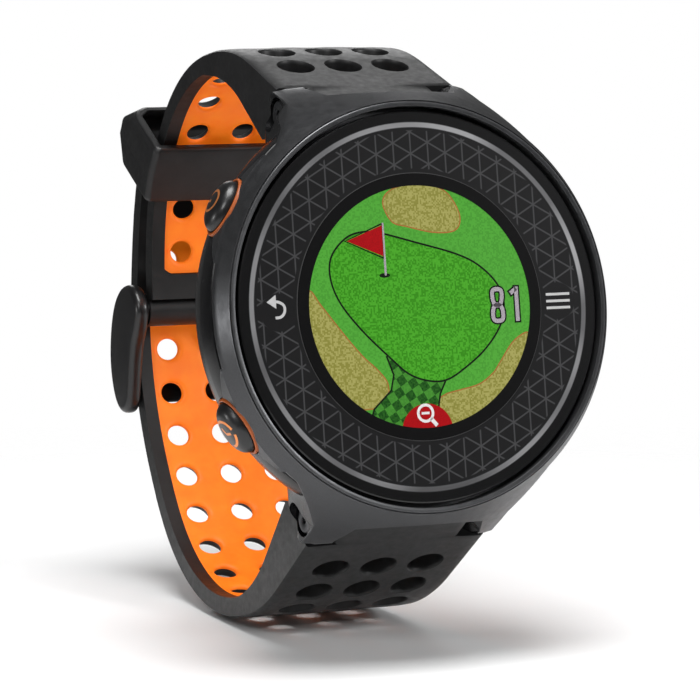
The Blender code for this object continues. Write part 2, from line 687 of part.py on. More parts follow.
def buckle_frame():
    arm = [(53.2, 5.0), (54.4, 6.5), (56.4, 7.0), (59.6, 5.9), (62.0, 2.8), (62.9, -1.2), (62.5, -4.8),
           (61.0, -7.4), (58.9, -7.8), (57.4, -6.6), (56.5, -3.4), (55.3, -0.4), (53.4, 2.0), (52.7, 3.6)]
    bar = [(60.9, -4.2), (62.3, -4.2), (62.5, -5.2), (61.9, -6.8), (60.9, -6.8)]
    pivot = (0.0, BAR_Y, BAR_Z)
    side = across(arm, -ARM_INNER_X, -ARM_OUTER_X)
    frame = make_object("buckle_frame", soften(side, 0.5, 2, radians(60)), BLACK_PLASTIC, pivot)
    add(frame, across(bar, -ARM_INNER_X - 1.0, ARM_INNER_X + 1.0))
    add(frame, soften(across(arm, ARM_INNER_X, ARM_OUTER_X), 0.5, 2, radians(60)))
    reach = ARM_INNER_X + 1.1
    cut(frame, rod((-reach, BAR_Y, BAR_Z), (1, 0, 0), BAR_RADIUS + GAP, 2 * reach))
    groove = [(61.6, -2.5), (65.0, -2.5), (65.0, -9.0), (61.6, -9.0)]
    cut(frame, across(groove, -PRONG_HALF_WIDTH - GAP, PRONG_HALF_WIDTH + GAP))
    half = reach - GAP
    spring_bar = rod((-half, BAR_Y, BAR_Z), (1, 0, 0), BAR_RADIUS, 2 * half)
    make_object("buckle_spring_bar", spring_bar, STEEL, pivot)


def buckle_prong():
    """A strip that leaves its ring, passes through a strap hole and rests on the buckle's bar."""
    middle = [(BAR_Y + 0.8, BAR_Z - 1.1), (57.8, -0.3), (60.2, -1.4), (61.6, -2.5), (62.4, -4.2),
              (62.4, -6.4)]
    left, right = [], []
    for k, (y, z) in enumerate(middle):
        y0, z0 = middle[max(k - 1, 0)]
        y1, z1 = middle[min(k + 1, len(middle) - 1)]
        along = Vector((y1 - y0, z1 - z0)).normalized() * PRONG_THICKNESS / 2
        left.append((y - along.y, z + along.x))
        right.append((y + along.y, z - along.x))
    pivot = (0.0, BAR_Y, BAR_Z)
    strip = across(left + right[::-1], -PRONG_HALF_WIDTH, PRONG_HALF_WIDTH)
    prong = make_object("buckle_prong", strip, STEEL, pivot)
    add(prong, rod((-PRONG_HALF_WIDTH, BAR_Y, BAR_Z), (1, 0, 0), 1.6, 2 * PRONG_HALF_WIDTH, 16))
    cut(prong, rod((-2, BAR_Y, BAR_Z), (1, 0, 0), BAR_RADIUS + GAP, 4))


def keeper(path):
    """The loop that holds the strap's free end. Its outer wall stands off and slopes at both ends."""
    y, z, heading = path.at(KEEPER_ALONG)
    along = Vector((0, cos(heading), sin(heading)))
    out = Vector((0, -sin(heading), cos(heading)))
    centre = Vector((0, y, z))
    half = KEEPER_HALF_WIDTH
    low, high = -KEEPER_INWARD - KEEPER_WALL, KEEPER_OUTWARD + KEEPER_WALL
    outline = [(-half, low), (half, low), (half, high - 2.2), (half - 2.2, high), (2.2 - half, high),
               (-half, high - 2.2)]
    start = centre - along * KEEPER_LENGTH / 2
    loop = extruded([start + out * n + Vector((x, 0, 0)) for x, n in outline], along * KEEPER_LENGTH)
    loop = make_object("keeper_loop", soften(loop, 0.5, 1), BLACK_RUBBER, centre)
    inner = half - KEEPER_WALL
    window = [(-inner, low + KEEPER_WALL), (inner, low + KEEPER_WALL), (inner, high - 2.6),
              (inner - 1.3, high - KEEPER_WALL), (1.3 - inner, high - KEEPER_WALL), (-inner, high - 2.6)]
    begin = centre - along * KEEPER_LENGTH
    cut(loop, extruded([begin + out * n + Vector((x, 0, 0)) for x, n in window], along * 2 * KEEPER_LENGTH))


def build():
    clear_scene()
    front_housing()
    mid_case()
    front_stack()
    inside()
    back_cover()
    back_screws()
    charge_contacts()
    button("upper", BUTTON_ANGLE)
    button("lower", -BUTTON_ANGLE)
    upper, upper_path = strap_half("upper", UPPER_PATH, 1, UPPER_FIRST_ROW, UPPER_ROWS, False)
    upper_end(upper)
    strap_half("lower", LOWER_PATH, -1, LOWER_FIRST_ROW, LOWER_ROWS, True)
    pins_and_screws()
    buckle_frame()
    buckle_prong()
    keeper(upper_path)


build()
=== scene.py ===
"""Looks for the golf watch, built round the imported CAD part.

Shapes are built in millimetres in the row frame (the dial faces -Y, 12 o'clock is +Z) and scaled to
metres when they become pieces.
"""

import json
from math import atan2, cos, hypot, pi, radians, sin, sqrt

import bmesh
import bpy
from mathutils import Matrix, Vector


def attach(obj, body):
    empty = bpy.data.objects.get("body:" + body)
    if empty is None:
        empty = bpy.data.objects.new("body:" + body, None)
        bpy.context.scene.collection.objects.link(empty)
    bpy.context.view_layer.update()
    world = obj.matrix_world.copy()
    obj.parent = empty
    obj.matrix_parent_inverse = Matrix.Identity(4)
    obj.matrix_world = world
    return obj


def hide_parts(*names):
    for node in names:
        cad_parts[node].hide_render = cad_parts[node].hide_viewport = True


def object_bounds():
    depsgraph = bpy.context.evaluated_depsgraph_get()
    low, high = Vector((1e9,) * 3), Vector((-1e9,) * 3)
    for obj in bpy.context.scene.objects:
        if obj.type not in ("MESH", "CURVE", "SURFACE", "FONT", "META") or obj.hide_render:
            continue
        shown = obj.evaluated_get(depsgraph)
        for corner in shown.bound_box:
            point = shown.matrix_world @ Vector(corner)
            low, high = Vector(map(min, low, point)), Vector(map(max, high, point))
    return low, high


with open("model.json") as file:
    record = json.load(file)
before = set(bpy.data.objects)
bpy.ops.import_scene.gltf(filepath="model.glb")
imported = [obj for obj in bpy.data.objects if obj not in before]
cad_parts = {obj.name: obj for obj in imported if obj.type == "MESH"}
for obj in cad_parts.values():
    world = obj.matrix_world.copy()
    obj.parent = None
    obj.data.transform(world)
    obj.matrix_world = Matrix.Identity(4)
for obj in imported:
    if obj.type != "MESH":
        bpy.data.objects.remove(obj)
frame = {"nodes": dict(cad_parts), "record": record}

CAD_LOW, CAD_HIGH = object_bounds()
MM = 0.001
# The watch stands on the lower strap and leans back a little, so the floor rises behind it.
FLOOR_SLOPE = 0.176
STANDS_AT_Y, FLOOR_GAP = 37.0, 0.3
FLOOR_Z = CAD_LOW.z * 1000 - STANDS_AT_Y * FLOOR_SLOPE - FLOOR_GAP

# The camera: degrees round the watch, and the distance and aim in millimetres.
AZIMUTH, ELEVATION, ROLL = -24.0, -2.2, -3.7
DISTANCE = 400.0
LENS_MM = 196.9
AIM_RIGHT, AIM_UP = -7.38, -4.54

LENS_RADIUS = 20.6
PIXEL = 0.17
SCREEN_GLOW = 0.9
CASE_RADIUS = 22.9
BEZEL_RADIUS = 22.72
LUG_END_Z = 24.1
CASE_FLAT_Z = 18.9
PIN_Y, PIN_Z = 8.9, 21.4
LUG_BACK = 11.0
LUG_OUTER_X = 11.2
BUTTON_ANGLE = 30.0
BUTTON_Y = 4.2
CAP_HALF_LENGTH, CAP_HALF_HEIGHT = 2.95, 2.25
RING_WIDTH = 0.32
CAP_TOP, RING_TOP, POCKET_FLOOR = 24.35, 22.9, 20.9
BAR_Y, BAR_Z = 55.4, 3.9
ROOT_Y, ROOT_Z, ROOT_SLOPE = 5.9, 22.45, 26.6
STRAP_HALF_WIDTH, TAIL_HALF_WIDTH, TONGUE_HALF_WIDTH = 10.5, 9.5, 7.2
SHOULDER = 4.6
STRAP_THICKNESS = 2.3
COLUMN_PITCH, ROW_PITCH = 5.6, 5.45
TIP_LENGTH = 4.0
UPPER_PATH = ((12.9, 0.0), (11.6, 26.6), (2.0, 0.0), (15.2, 38.0), (15.2, 33.0), (9.0, 17.5))
LOWER_PATH = ((14.9, 0.0), (12.6, 26.6), (2.0, 0.0), (24.9, 57.0), (13.8, 20.0), (15.8, 26.0), (7.0, 5.0),
              (11.0, 19.0))
UPPER_ROWS, LOWER_ROWS = 10, 15
UPPER_FIRST_ROW, LOWER_FIRST_ROW = 11.0, 10.2
KEEPER_ALONG = 48.5


# ---------------------------------------------------------------- materials


class Shader:
    """A material's node tree, with short ways to add nodes. A value is a number, a colour or a socket."""

    def __init__(self, name, **values):
        self.material = bpy.data.materials.new(name)
        self.material.use_nodes = True
        self.tree = self.material.node_tree
        self.surface = self.tree.nodes["Principled BSDF"]
        self.set(**values)

    def set(self, **values):
        for key, value in values.items():
            self.link(value, self.surface.inputs[key.replace("_", " ").title().replace("Ior", "IOR")])

    def link(self, value, socket):
        if isinstance(value, bpy.types.NodeSocket):
            self.tree.links.new(value, socket)
        elif isinstance(value, tuple):
            socket.default_value = (*value, 1.0) if len(socket.default_value) == 4 else value
        else:
            socket.default_value = value

    def node(self, kind, values=(), out=0, **settings):
        made = self.tree.nodes.new(kind)
        for key, value in settings.items():
            setattr(made, key, value)
        for key, value in dict(values).items():
            self.link(value, made.inputs[key])
        return made.outputs[out]

    def math(self, operation, a, b=0.0, c=0.0):
        made = self.tree.nodes.new("ShaderNodeMath")
        made.operation = operation
        for socket, value in zip(made.inputs, (a, b, c)):
            self.link(value, socket)
        return made.outputs[0]

    def times(self, a, b):
        return self.math("MULTIPLY", a, b)

    def distance(self, x, z):
        return self.math("SQRT", self.math("ADD", self.times(x, x), self.times(z, z)))

    def place(self):
        """Position in millimetres."""
        at = self.node("ShaderNodeTexCoord", out=3)
        return self.node("ShaderNodeVectorMath", {0: at, 1: (1000.0,) * 3}, operation="MULTIPLY")

    def noise(self, scale, detail=3.0, roughness=0.6, stretch=(1, 1, 1)):
        at = self.node("ShaderNodeVectorMath", {0: self.place(), 1: tuple(scale * k for k in stretch)},
                       operation="MULTIPLY")
        return self.node("ShaderNodeTexNoise", {"Vector": at, "Scale": 1.0, "Detail": detail,
                                                "Roughness": roughness})

    def ramp(self, value, low, high, to_low=0.0, to_high=1.0):
        return self.node("ShaderNodeMapRange", {"Value": value, "From Min": low, "From Max": high,
                                                "To Min": to_low, "To Max": to_high})

    def mix(self, factor, a, b):
        made = self.tree.nodes.new("ShaderNodeMix")
        made.data_type = "RGBA"
        for key, value in ((0, factor), (6, a), (7, b)):
            self.link(value, made.inputs[key])
        return made.outputs[2]

    def bump(self, height, distance_mm):
        self.link(self.node("ShaderNodeBump", {"Height": height, "Distance": distance_mm * MM}),
                  self.surface.inputs["Normal"])

    def lighter_edges(self, radius_mm, colour, base):
        """A lighter tone where the surface turns sharply."""
        rounded = self.node("ShaderNodeBevel", {"Radius": radius_mm * MM}, samples=4)
        flat = self.node("ShaderNodeNewGeometry", out=1)
        same = self.node("ShaderNodeVectorMath", {0: rounded, 1: flat}, 1, operation="DOT_PRODUCT")
        return self.mix(self.ramp(same, 0.99, 0.90), base, colour)


def raised(tone, gain, offset):
    """A lighter version of a colour."""
    return tuple(min(1.0, gain * c + offset) for c in tone)


def rubber(name, tone, speck, roughness, depth, glow=0.0):
    """Moulded rubber: a fine grain, faint mottling of the tone and a sheen that varies slightly."""
    # A glow, where one is given, is painted light: emission that brightens the rubber as if it were lit.
    made = Shader(name, specular_ior_level=0.42, emission_strength=glow)
    broad = made.noise(0.35, 4)
    colour = made.mix(made.ramp(broad, 0.35, 0.7), tone, speck)
    made.set(base_color=colour, emission_color=colour,
             roughness=made.ramp(made.noise(1.2, 5), 0.3, 0.7, roughness - 0.06, roughness + 0.08))
    made.bump(made.noise(9.0, 2), depth)
    return made.material


def metal(name, tone, roughness, metallic, grain, depth=0.004):
    """Finely blasted metal or metallic paint."""
    made = Shader(name, metallic=metallic)
    speck = made.noise(14.0, 2)
    body = made.mix(made.ramp(speck, 0.4, 0.75), tone, raised(tone, 1.35, 0.01))
    # Sharp edges take a lighter tone.
    made.set(base_color=made.lighter_edges(0.08, raised(tone, 1.9, 0.02), body),
             roughness=made.ramp(made.noise(1.0, 4, stretch=grain), 0.3, 0.7, roughness - 0.05,
                                 roughness + 0.07))
    made.bump(speck, depth)
    return made.material


def plastic(name, tone, roughness, gloss=0.0, shine=0.5):
    made = Shader(name, coat_weight=gloss, coat_roughness=0.06, specular_ior_level=shine)
    smear = made.noise(0.5, 5, 0.7)
    made.set(base_color=made.mix(made.ramp(smear, 0.3, 0.75), tone, raised(tone, 1.2, 0.004)),
             roughness=made.ramp(smear, 0.3, 0.75, roughness - 0.03, roughness + 0.07))
    made.bump(made.noise(5.0, 3), 0.003)
    return made.material


def printed_glass():
    """The lens: a black glass printed on its inner side with rings and a lattice of triangles."""
    made = Shader("lens_printed_glass", roughness=0.3, coat_weight=0.6, coat_roughness=0.02,
                  specular_ior_level=0.15)
    split = made.node("ShaderNodeSeparateXYZ", {0: made.place()})
    parts = split.node.outputs
    x, z = parts[0], parts[2]
    radius = made.distance(x, z)

    def between(low, high, soft=0.05):
        return made.times(made.ramp(radius, low - soft, low + soft),
                          made.ramp(radius, high - soft, high + soft, 1.0, 0.0))

    pitch, lattice = 1.987, 0.0
    for degrees_from_x in (0, 60, 120):
        a = radians(degrees_from_x)
        across_line = made.math("ADD", made.times(x, cos(a)), made.times(z, sin(a)))
        turn = made.math("FRACT", made.math("ADD", made.math("DIVIDE", across_line, pitch), 100.5))
        off = made.times(made.math("ABSOLUTE", made.math("SUBTRACT", turn, 0.5)), pitch)
        lattice = made.math("MAXIMUM", made.ramp(off, 0.04, 0.11, 1.0, 0.0), lattice)
    # Space is kept clear where the two symbols are printed.
    clear = 1.0
    for centre in (16.1, -16.2):
        away = made.distance(made.math("SUBTRACT", x, centre), z)
        clear = made.times(made.ramp(away, 1.9, 2.1), clear)
    lattice = made.times(made.times(lattice, between(14.5, 18.5)), clear)
    tone = made.mix(between(12.9, 19.4), (0.003, 0.003, 0.0033), (0.0085, 0.0085, 0.009))
    tone = made.mix(between(12.6, 13.3), tone, (0.005, 0.005, 0.005))
    tone = made.mix(lattice, tone, (0.050, 0.050, 0.052))
    tone = made.mix(made.times(between(13.75, 14.05), 0.9), tone, (0.10, 0.10, 0.10))
    silver = between(18.85, 19.35)
    # Painted sheen: the silver ring's tone rises and falls in broad patches along it, in place of its
    # reflections.
    around = made.node("ShaderNodeTexNoise", {"Vector": made.place(), "Scale": 0.12, "Detail": 0.0})
    shine = made.mix(made.ramp(around, 0.35, 0.65), (0.16, 0.16, 0.165), (0.40, 0.40, 0.41))
    tone = made.mix(silver, tone, shine)
    made.set(base_color=tone, metallic=made.times(silver, 0.8))
    return made.material


class Lit(Shader):
    """A lit colour of the display, which is made of small square pixels under the glass."""

    def __init__(self, name):
        super().__init__(name, roughness=0.35, coat_weight=0.5, coat_roughness=0.02, specular_ior_level=0.1)

    def random_pixels(self):
        snapped = self.node("ShaderNodeVectorMath", {0: self.place(), 1: (PIXEL,) * 3}, operation="SNAP")
        return self.node("ShaderNodeTexWhiteNoise", {"Vector": snapped})

    def glowing(self, colour):
        self.set(base_color=self.mix(0.15, (0.0, 0.0, 0.0), colour), emission_color=colour,
                 emission_strength=SCREEN_GLOW)
        return self.material


def screen_colour(name, dark, light, share=0.5):
    """Two tones mixed pixel by pixel."""
    made = Lit(name)
    value = made.random_pixels()
    return made.glowing(made.mix(made.ramp(value, share - 0.1, share + 0.1), dark, light))


def checked(name, dark, light, size, turned_by):
    """The mown fairway's diagonal checks."""
    made = Lit(name)
    turned_place = made.node("ShaderNodeVectorRotate", {"Vector": made.place(), "Angle": radians(turned_by),
                                                       "Axis": (0, 1, 0)}, rotation_type="AXIS_ANGLE")
    checks = made.node("ShaderNodeTexChecker", {"Vector": turned_place, "Scale": 1 / size}, out=1)
    share = made.math("ADD", made.times(checks, 0.7), made.times(made.random_pixels(), 0.3))
    return made.glowing(made.mix(share, dark, light))


def flat_paint(name, tone, glow=0.0):
    """Printed ink under the glass, very slightly uneven."""
    made = Shader(name, roughness=0.3, coat_weight=0.5, coat_roughness=0.02, specular_ior_level=0.1)
    colour = made.mix(made.ramp(made.noise(3.0), 0.3, 0.7), tuple(0.9 * c for c in tone), tone)
    # For the screen's inks the glow is the display's own light; for the print round the lens it is painted
    # light.
    made.set(base_color=colour, emission_color=colour, emission_strength=glow)
    return made.material


BLACK_RUBBER = rubber("strap_black_rubber", (0.0072, 0.0072, 0.0075), (0.0125, 0.0125, 0.013), 0.44, 0.006)
# The inlay's glow of 0.25 is painted light, which brightens its shaded faces.
ORANGE_RUBBER = rubber("inlay_orange_rubber", (0.93, 0.18, 0.006), (1.0, 0.23, 0.010), 0.50, 0.006, 0.25)
GUNMETAL = metal("housing_gunmetal", (0.060, 0.061, 0.064), 0.34, 0.8, (1, 1, 1))
BLACK_PLASTIC = plastic("case_black_plastic", (0.0035, 0.0035, 0.004), 0.22, 0.0, 0.25)
GLOSS_BLACK = plastic("gloss_black_plastic", (0.005, 0.005, 0.0055), 0.32, 0.12)
BUTTON_ORANGE = rubber("button_orange", (0.36, 0.075, 0.010), (0.44, 0.10, 0.015), 0.42, 0.003)
STEEL = metal("brushed_steel", (0.50, 0.50, 0.51), 0.28, 1.0, (0.2, 6, 6))
DARK_STEEL = metal("blackened_steel", (0.07, 0.07, 0.075), 0.30, 0.9, (1, 1, 1))
GOLD = metal("gold_plate", (0.78, 0.52, 0.17), 0.24, 1.0, (1, 1, 1))
COPPER_INK = metal("copper_ink", (0.75, 0.26, 0.08), 0.35, 0.7, (1, 1, 1))
BOARD = plastic("circuit_board_green", (0.015, 0.13, 0.045), 0.42, 0.3)
WHITE_PLASTIC = plastic("white_moulding", (0.70, 0.70, 0.68), 0.45)
CERAMIC = plastic("antenna_ceramic", (0.52, 0.43, 0.30), 0.6)
FOIL = metal("cell_foil", (0.40, 0.41, 0.43), 0.32, 0.9, (1, 1, 1), 0.01)
SEAL = rubber("seal_rubber", (0.03, 0.03, 0.033), (0.045, 0.045, 0.048), 0.62, 0.004)
LENS = printed_glass()

SLOTS = {
    "black_rubber": BLACK_RUBBER, "orange_rubber": ORANGE_RUBBER, "gunmetal": GUNMETAL,
    "black_plastic": BLACK_PLASTIC, "printed_glass": LENS, "steel": STEEL, "dark_steel": DARK_STEEL,
    "gold_plate": GOLD, "circuit_board": BOARD, "white_plastic": WHITE_PLASTIC, "ceramic": CERAMIC,
    "cell_foil": FOIL, "seal_rubber": SEAL,
    "display": screen_colour("display_layers", (0.03, 0.30, 0.02), (0.05, 0.40, 0.03)),
}


# ---------------------------------------------------------------- shapes


def placed(name, data):
    """An object of the scene that holds this mesh, light or camera."""
    obj = bpy.data.objects.new(name, data)
    bpy.context.scene.collection.objects.link(obj)
    return obj


def riding(name, bm, finish, body):
    """Makes a bmesh in millimetres into an object that rides on a CAD body."""
    bmesh.ops.scale(bm, verts=bm.verts, vec=(MM, MM, MM))
    mesh = bpy.data.meshes.new(name)
    bm.to_mesh(mesh)
    bm.free()
    mesh.materials.append(finish)
    obj = placed(name, mesh)
    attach(obj, body)
    return obj


def piece(name, bm, finish, body, nodes=(), bevel=0.0, angle=35.0):
    """A mesh with smooth shading, which stands in for the CAD nodes it names."""
    bmesh.ops.remove_doubles(bm, verts=bm.verts, dist=1e-4)
    bmesh.ops.recalc_face_normals(bm, faces=bm.faces)
    obj = riding(name, bm, finish, body)
    obj.data.shade_smooth()
    obj.data.set_sharp_from_angle(angle=radians(angle))
    if bevel:
        edge = obj.modifiers.new("edges", "BEVEL")
        edge.width = bevel * MM
        edge.segments = 3
        edge.limit_method = "ANGLE"
        edge.angle_limit = radians(angle)
        edge.harden_normals = True
    if nodes:
        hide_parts(*nodes)


def combined(bm, others, operation):
    """The bmesh after a Boolean with each of the others."""
    made = []
    for number, part in enumerate([bm, *others]):
        mesh = bpy.data.meshes.new(f"work_{number}")
        bmesh.ops.recalc_face_normals(part, faces=part.faces)
        part.to_mesh(mesh)
        part.free()
        made.append(placed(mesh.name, mesh))
    for other in made[1:]:
        modifier = made[0].modifiers.new(other.name, "BOOLEAN")
        modifier.operation = operation
        modifier.object = other
    bpy.context.view_layer.update()
    done = made[0].evaluated_get(bpy.context.evaluated_depsgraph_get())
    result = bmesh.new()
    result.from_mesh(done.to_mesh())
    for obj in made:
        bpy.data.objects.remove(obj)
    return result


def extruded(points, direction):
    """A closed prism: the flat outline `points`, extruded by the vector `direction`."""
    bm = bmesh.new()
    face = bm.faces.new([bm.verts.new(point) for point in points])
    result = bmesh.ops.extrude_face_region(bm, geom=[face])
    moved = [item for item in result["geom"] if isinstance(item, bmesh.types.BMVert)]
    bmesh.ops.translate(bm, verts=moved, vec=direction)
    bmesh.ops.recalc_face_normals(bm, faces=bm.faces)
    return bm


def across(outline, x_from, x_to):
    """A prism along X of an outline given as (y, z)."""
    return extruded([(x_from, y, z) for y, z in outline], (x_to - x_from, 0, 0))


def plate(outline, y_from, y_to):
    """A prism along Y of an outline given as (x, z)."""
    return extruded([(x, y_from, z) for x, z in outline], (0, y_to - y_from, 0))


def circle(radius, steps, centre=(0.0, 0.0)):
    turns = [2 * pi * k / steps for k in range(steps)]
    return [(centre[0] + radius * cos(a), centre[1] + radius * sin(a)) for a in turns]


def turned(profile, steps, closed=True):
    """A shape turned about the Y axis, from (radius, y) points: a ring if closed, else axis to axis."""
    bm = bmesh.new()
    verts = [bm.verts.new((radius, y, 0.0)) for radius, y in profile]
    ends = list(zip(verts, verts[1:] + verts[:1] if closed else verts[1:]))
    edges = [bm.edges.new(pair) for pair in ends]
    bmesh.ops.spin(bm, geom=verts + edges, cent=(0, 0, 0), axis=(0, 1, 0), angle=2 * pi,
                   steps=steps, use_merge=True)
    bmesh.ops.remove_doubles(bm, verts=bm.verts, dist=1e-4)
    bmesh.ops.dissolve_degenerate(bm, edges=bm.edges, dist=1e-5)
    bmesh.ops.recalc_face_normals(bm, faces=bm.faces)
    return bm


def rod(start, direction, radius, length, steps):
    """A cylinder from `start` along a unit vector."""
    direction = Vector(direction).normalized()
    side = direction.orthogonal().normalized()
    other = direction.cross(side)
    ring = [Vector(start) + radius * (u * side + v * other) for u, v in circle(1.0, steps)]
    return extruded(ring, direction * length)


def turned_along(profile, centre, direction, steps):
    """A turned shape whose axis is moved from Y to `direction` through `centre`."""
    bm = turned(profile, steps, closed=False)
    turn = Vector((0, 1, 0)).rotation_difference(Vector(direction)).to_matrix().to_4x4()
    bmesh.ops.transform(bm, matrix=Matrix.Translation(centre) @ turn, verts=bm.verts)
    return bm


def radial(angle_deg):
    """Outward and tangential unit vectors at an angle above 9 o'clock."""
    a = radians(angle_deg)
    return Vector((-cos(a), 0, sin(a))), Vector((sin(a), 0, cos(a)))


def lofted(rings, closed=False):
    """Skin over rings of equal point counts; its ends are capped unless the last ring meets the first."""
    bm = bmesh.new()
    made = [[bm.verts.new(point) for point in ring] for ring in rings]
    pairs = list(zip(made, made[1:]))
    if closed:
        pairs.append((made[-1], made[0]))
    for low, high in pairs:
        for k in range(len(low)):
            n = (k + 1) % len(low)
            bm.faces.new((low[k], low[n], high[n], high[k]))
    if not closed:
        bm.faces.new(made[0])
        bm.faces.new(made[-1])
    bmesh.ops.recalc_face_normals(bm, faces=bm.faces)
    return bm


def smoothed(points, steps=8, closed=True):
    """A Catmull-Rom curve through 2-D points."""
    count = len(points)
    out = []
    for k in range(count if closed else count - 1):
        if closed:
            p = [points[(k + d) % count] for d in (-1, 0, 1, 2)]
        else:
            p = [points[min(max(k + d, 0), count - 1)] for d in (-1, 0, 1, 2)]
        for s in range(steps):
            t = s / steps
            out.append(tuple(0.5 * (2 * p[1][a] + (p[2][a] - p[0][a]) * t
                                    + (2 * p[0][a] - 5 * p[1][a] + 4 * p[2][a] - p[3][a]) * t * t
                                    + (3 * p[1][a] - p[0][a] - 3 * p[2][a] + p[3][a]) * t ** 3)
                             for a in (0, 1)))
    if not closed:
        out.append(points[-1])
    return out


def stroke(points, width, closed=False):
    """The outline of a line of even width through 2-D points, as quads (lists of four corners)."""
    count = len(points)
    sides = []
    for k in range(count):
        before = points[(k - 1) % count] if closed or k else points[k]
        after = points[(k + 1) % count] if closed or k < count - 1 else points[k]
        dx, dz = after[0] - before[0], after[1] - before[1]
        long = hypot(dx, dz) or 1.0
        nx, nz = -dz / long * width / 2, dx / long * width / 2
        sides.append(((points[k][0] + nx, points[k][1] + nz), (points[k][0] - nx, points[k][1] - nz)))
    last = count if closed else count - 1
    return [(sides[k][0], sides[k][1], sides[(k + 1) % count][1], sides[(k + 1) % count][0])
            for k in range(last)]


def arc(radius, start, end, centre=(0.0, 0.0), steps=32):
    turns = [radians(start + (end - start) * k / steps) for k in range(steps + 1)]
    return [(centre[0] + radius * cos(a), centre[1] + radius * sin(a)) for a in turns]


def decal(name, outlines, finish, y):
    """Flat print on the lens, from outlines in (x, z), just in front of its face."""
    bm = bmesh.new()
    for outline in outlines:
        face = bm.faces.new([bm.verts.new((px, y, pz)) for px, pz in outline])
        face.normal_update()
        if face.normal.y > 0:
            face.normal_flip()
    riding(name, bm, finish, "case")


# ---------------------------------------------------------------- dial


def lens():
    profile = [(0, 0), (LENS_RADIUS - 0.4, 0), (LENS_RADIUS - 0.2, 0), (LENS_RADIUS - 0.06, 0.06),
               (LENS_RADIUS, 0.2), (LENS_RADIUS, 1.2), (0, 1.2)]
    piece("lens", turned(profile, 192, closed=False), LENS, "case", ["lens_glass"],
          angle=12)


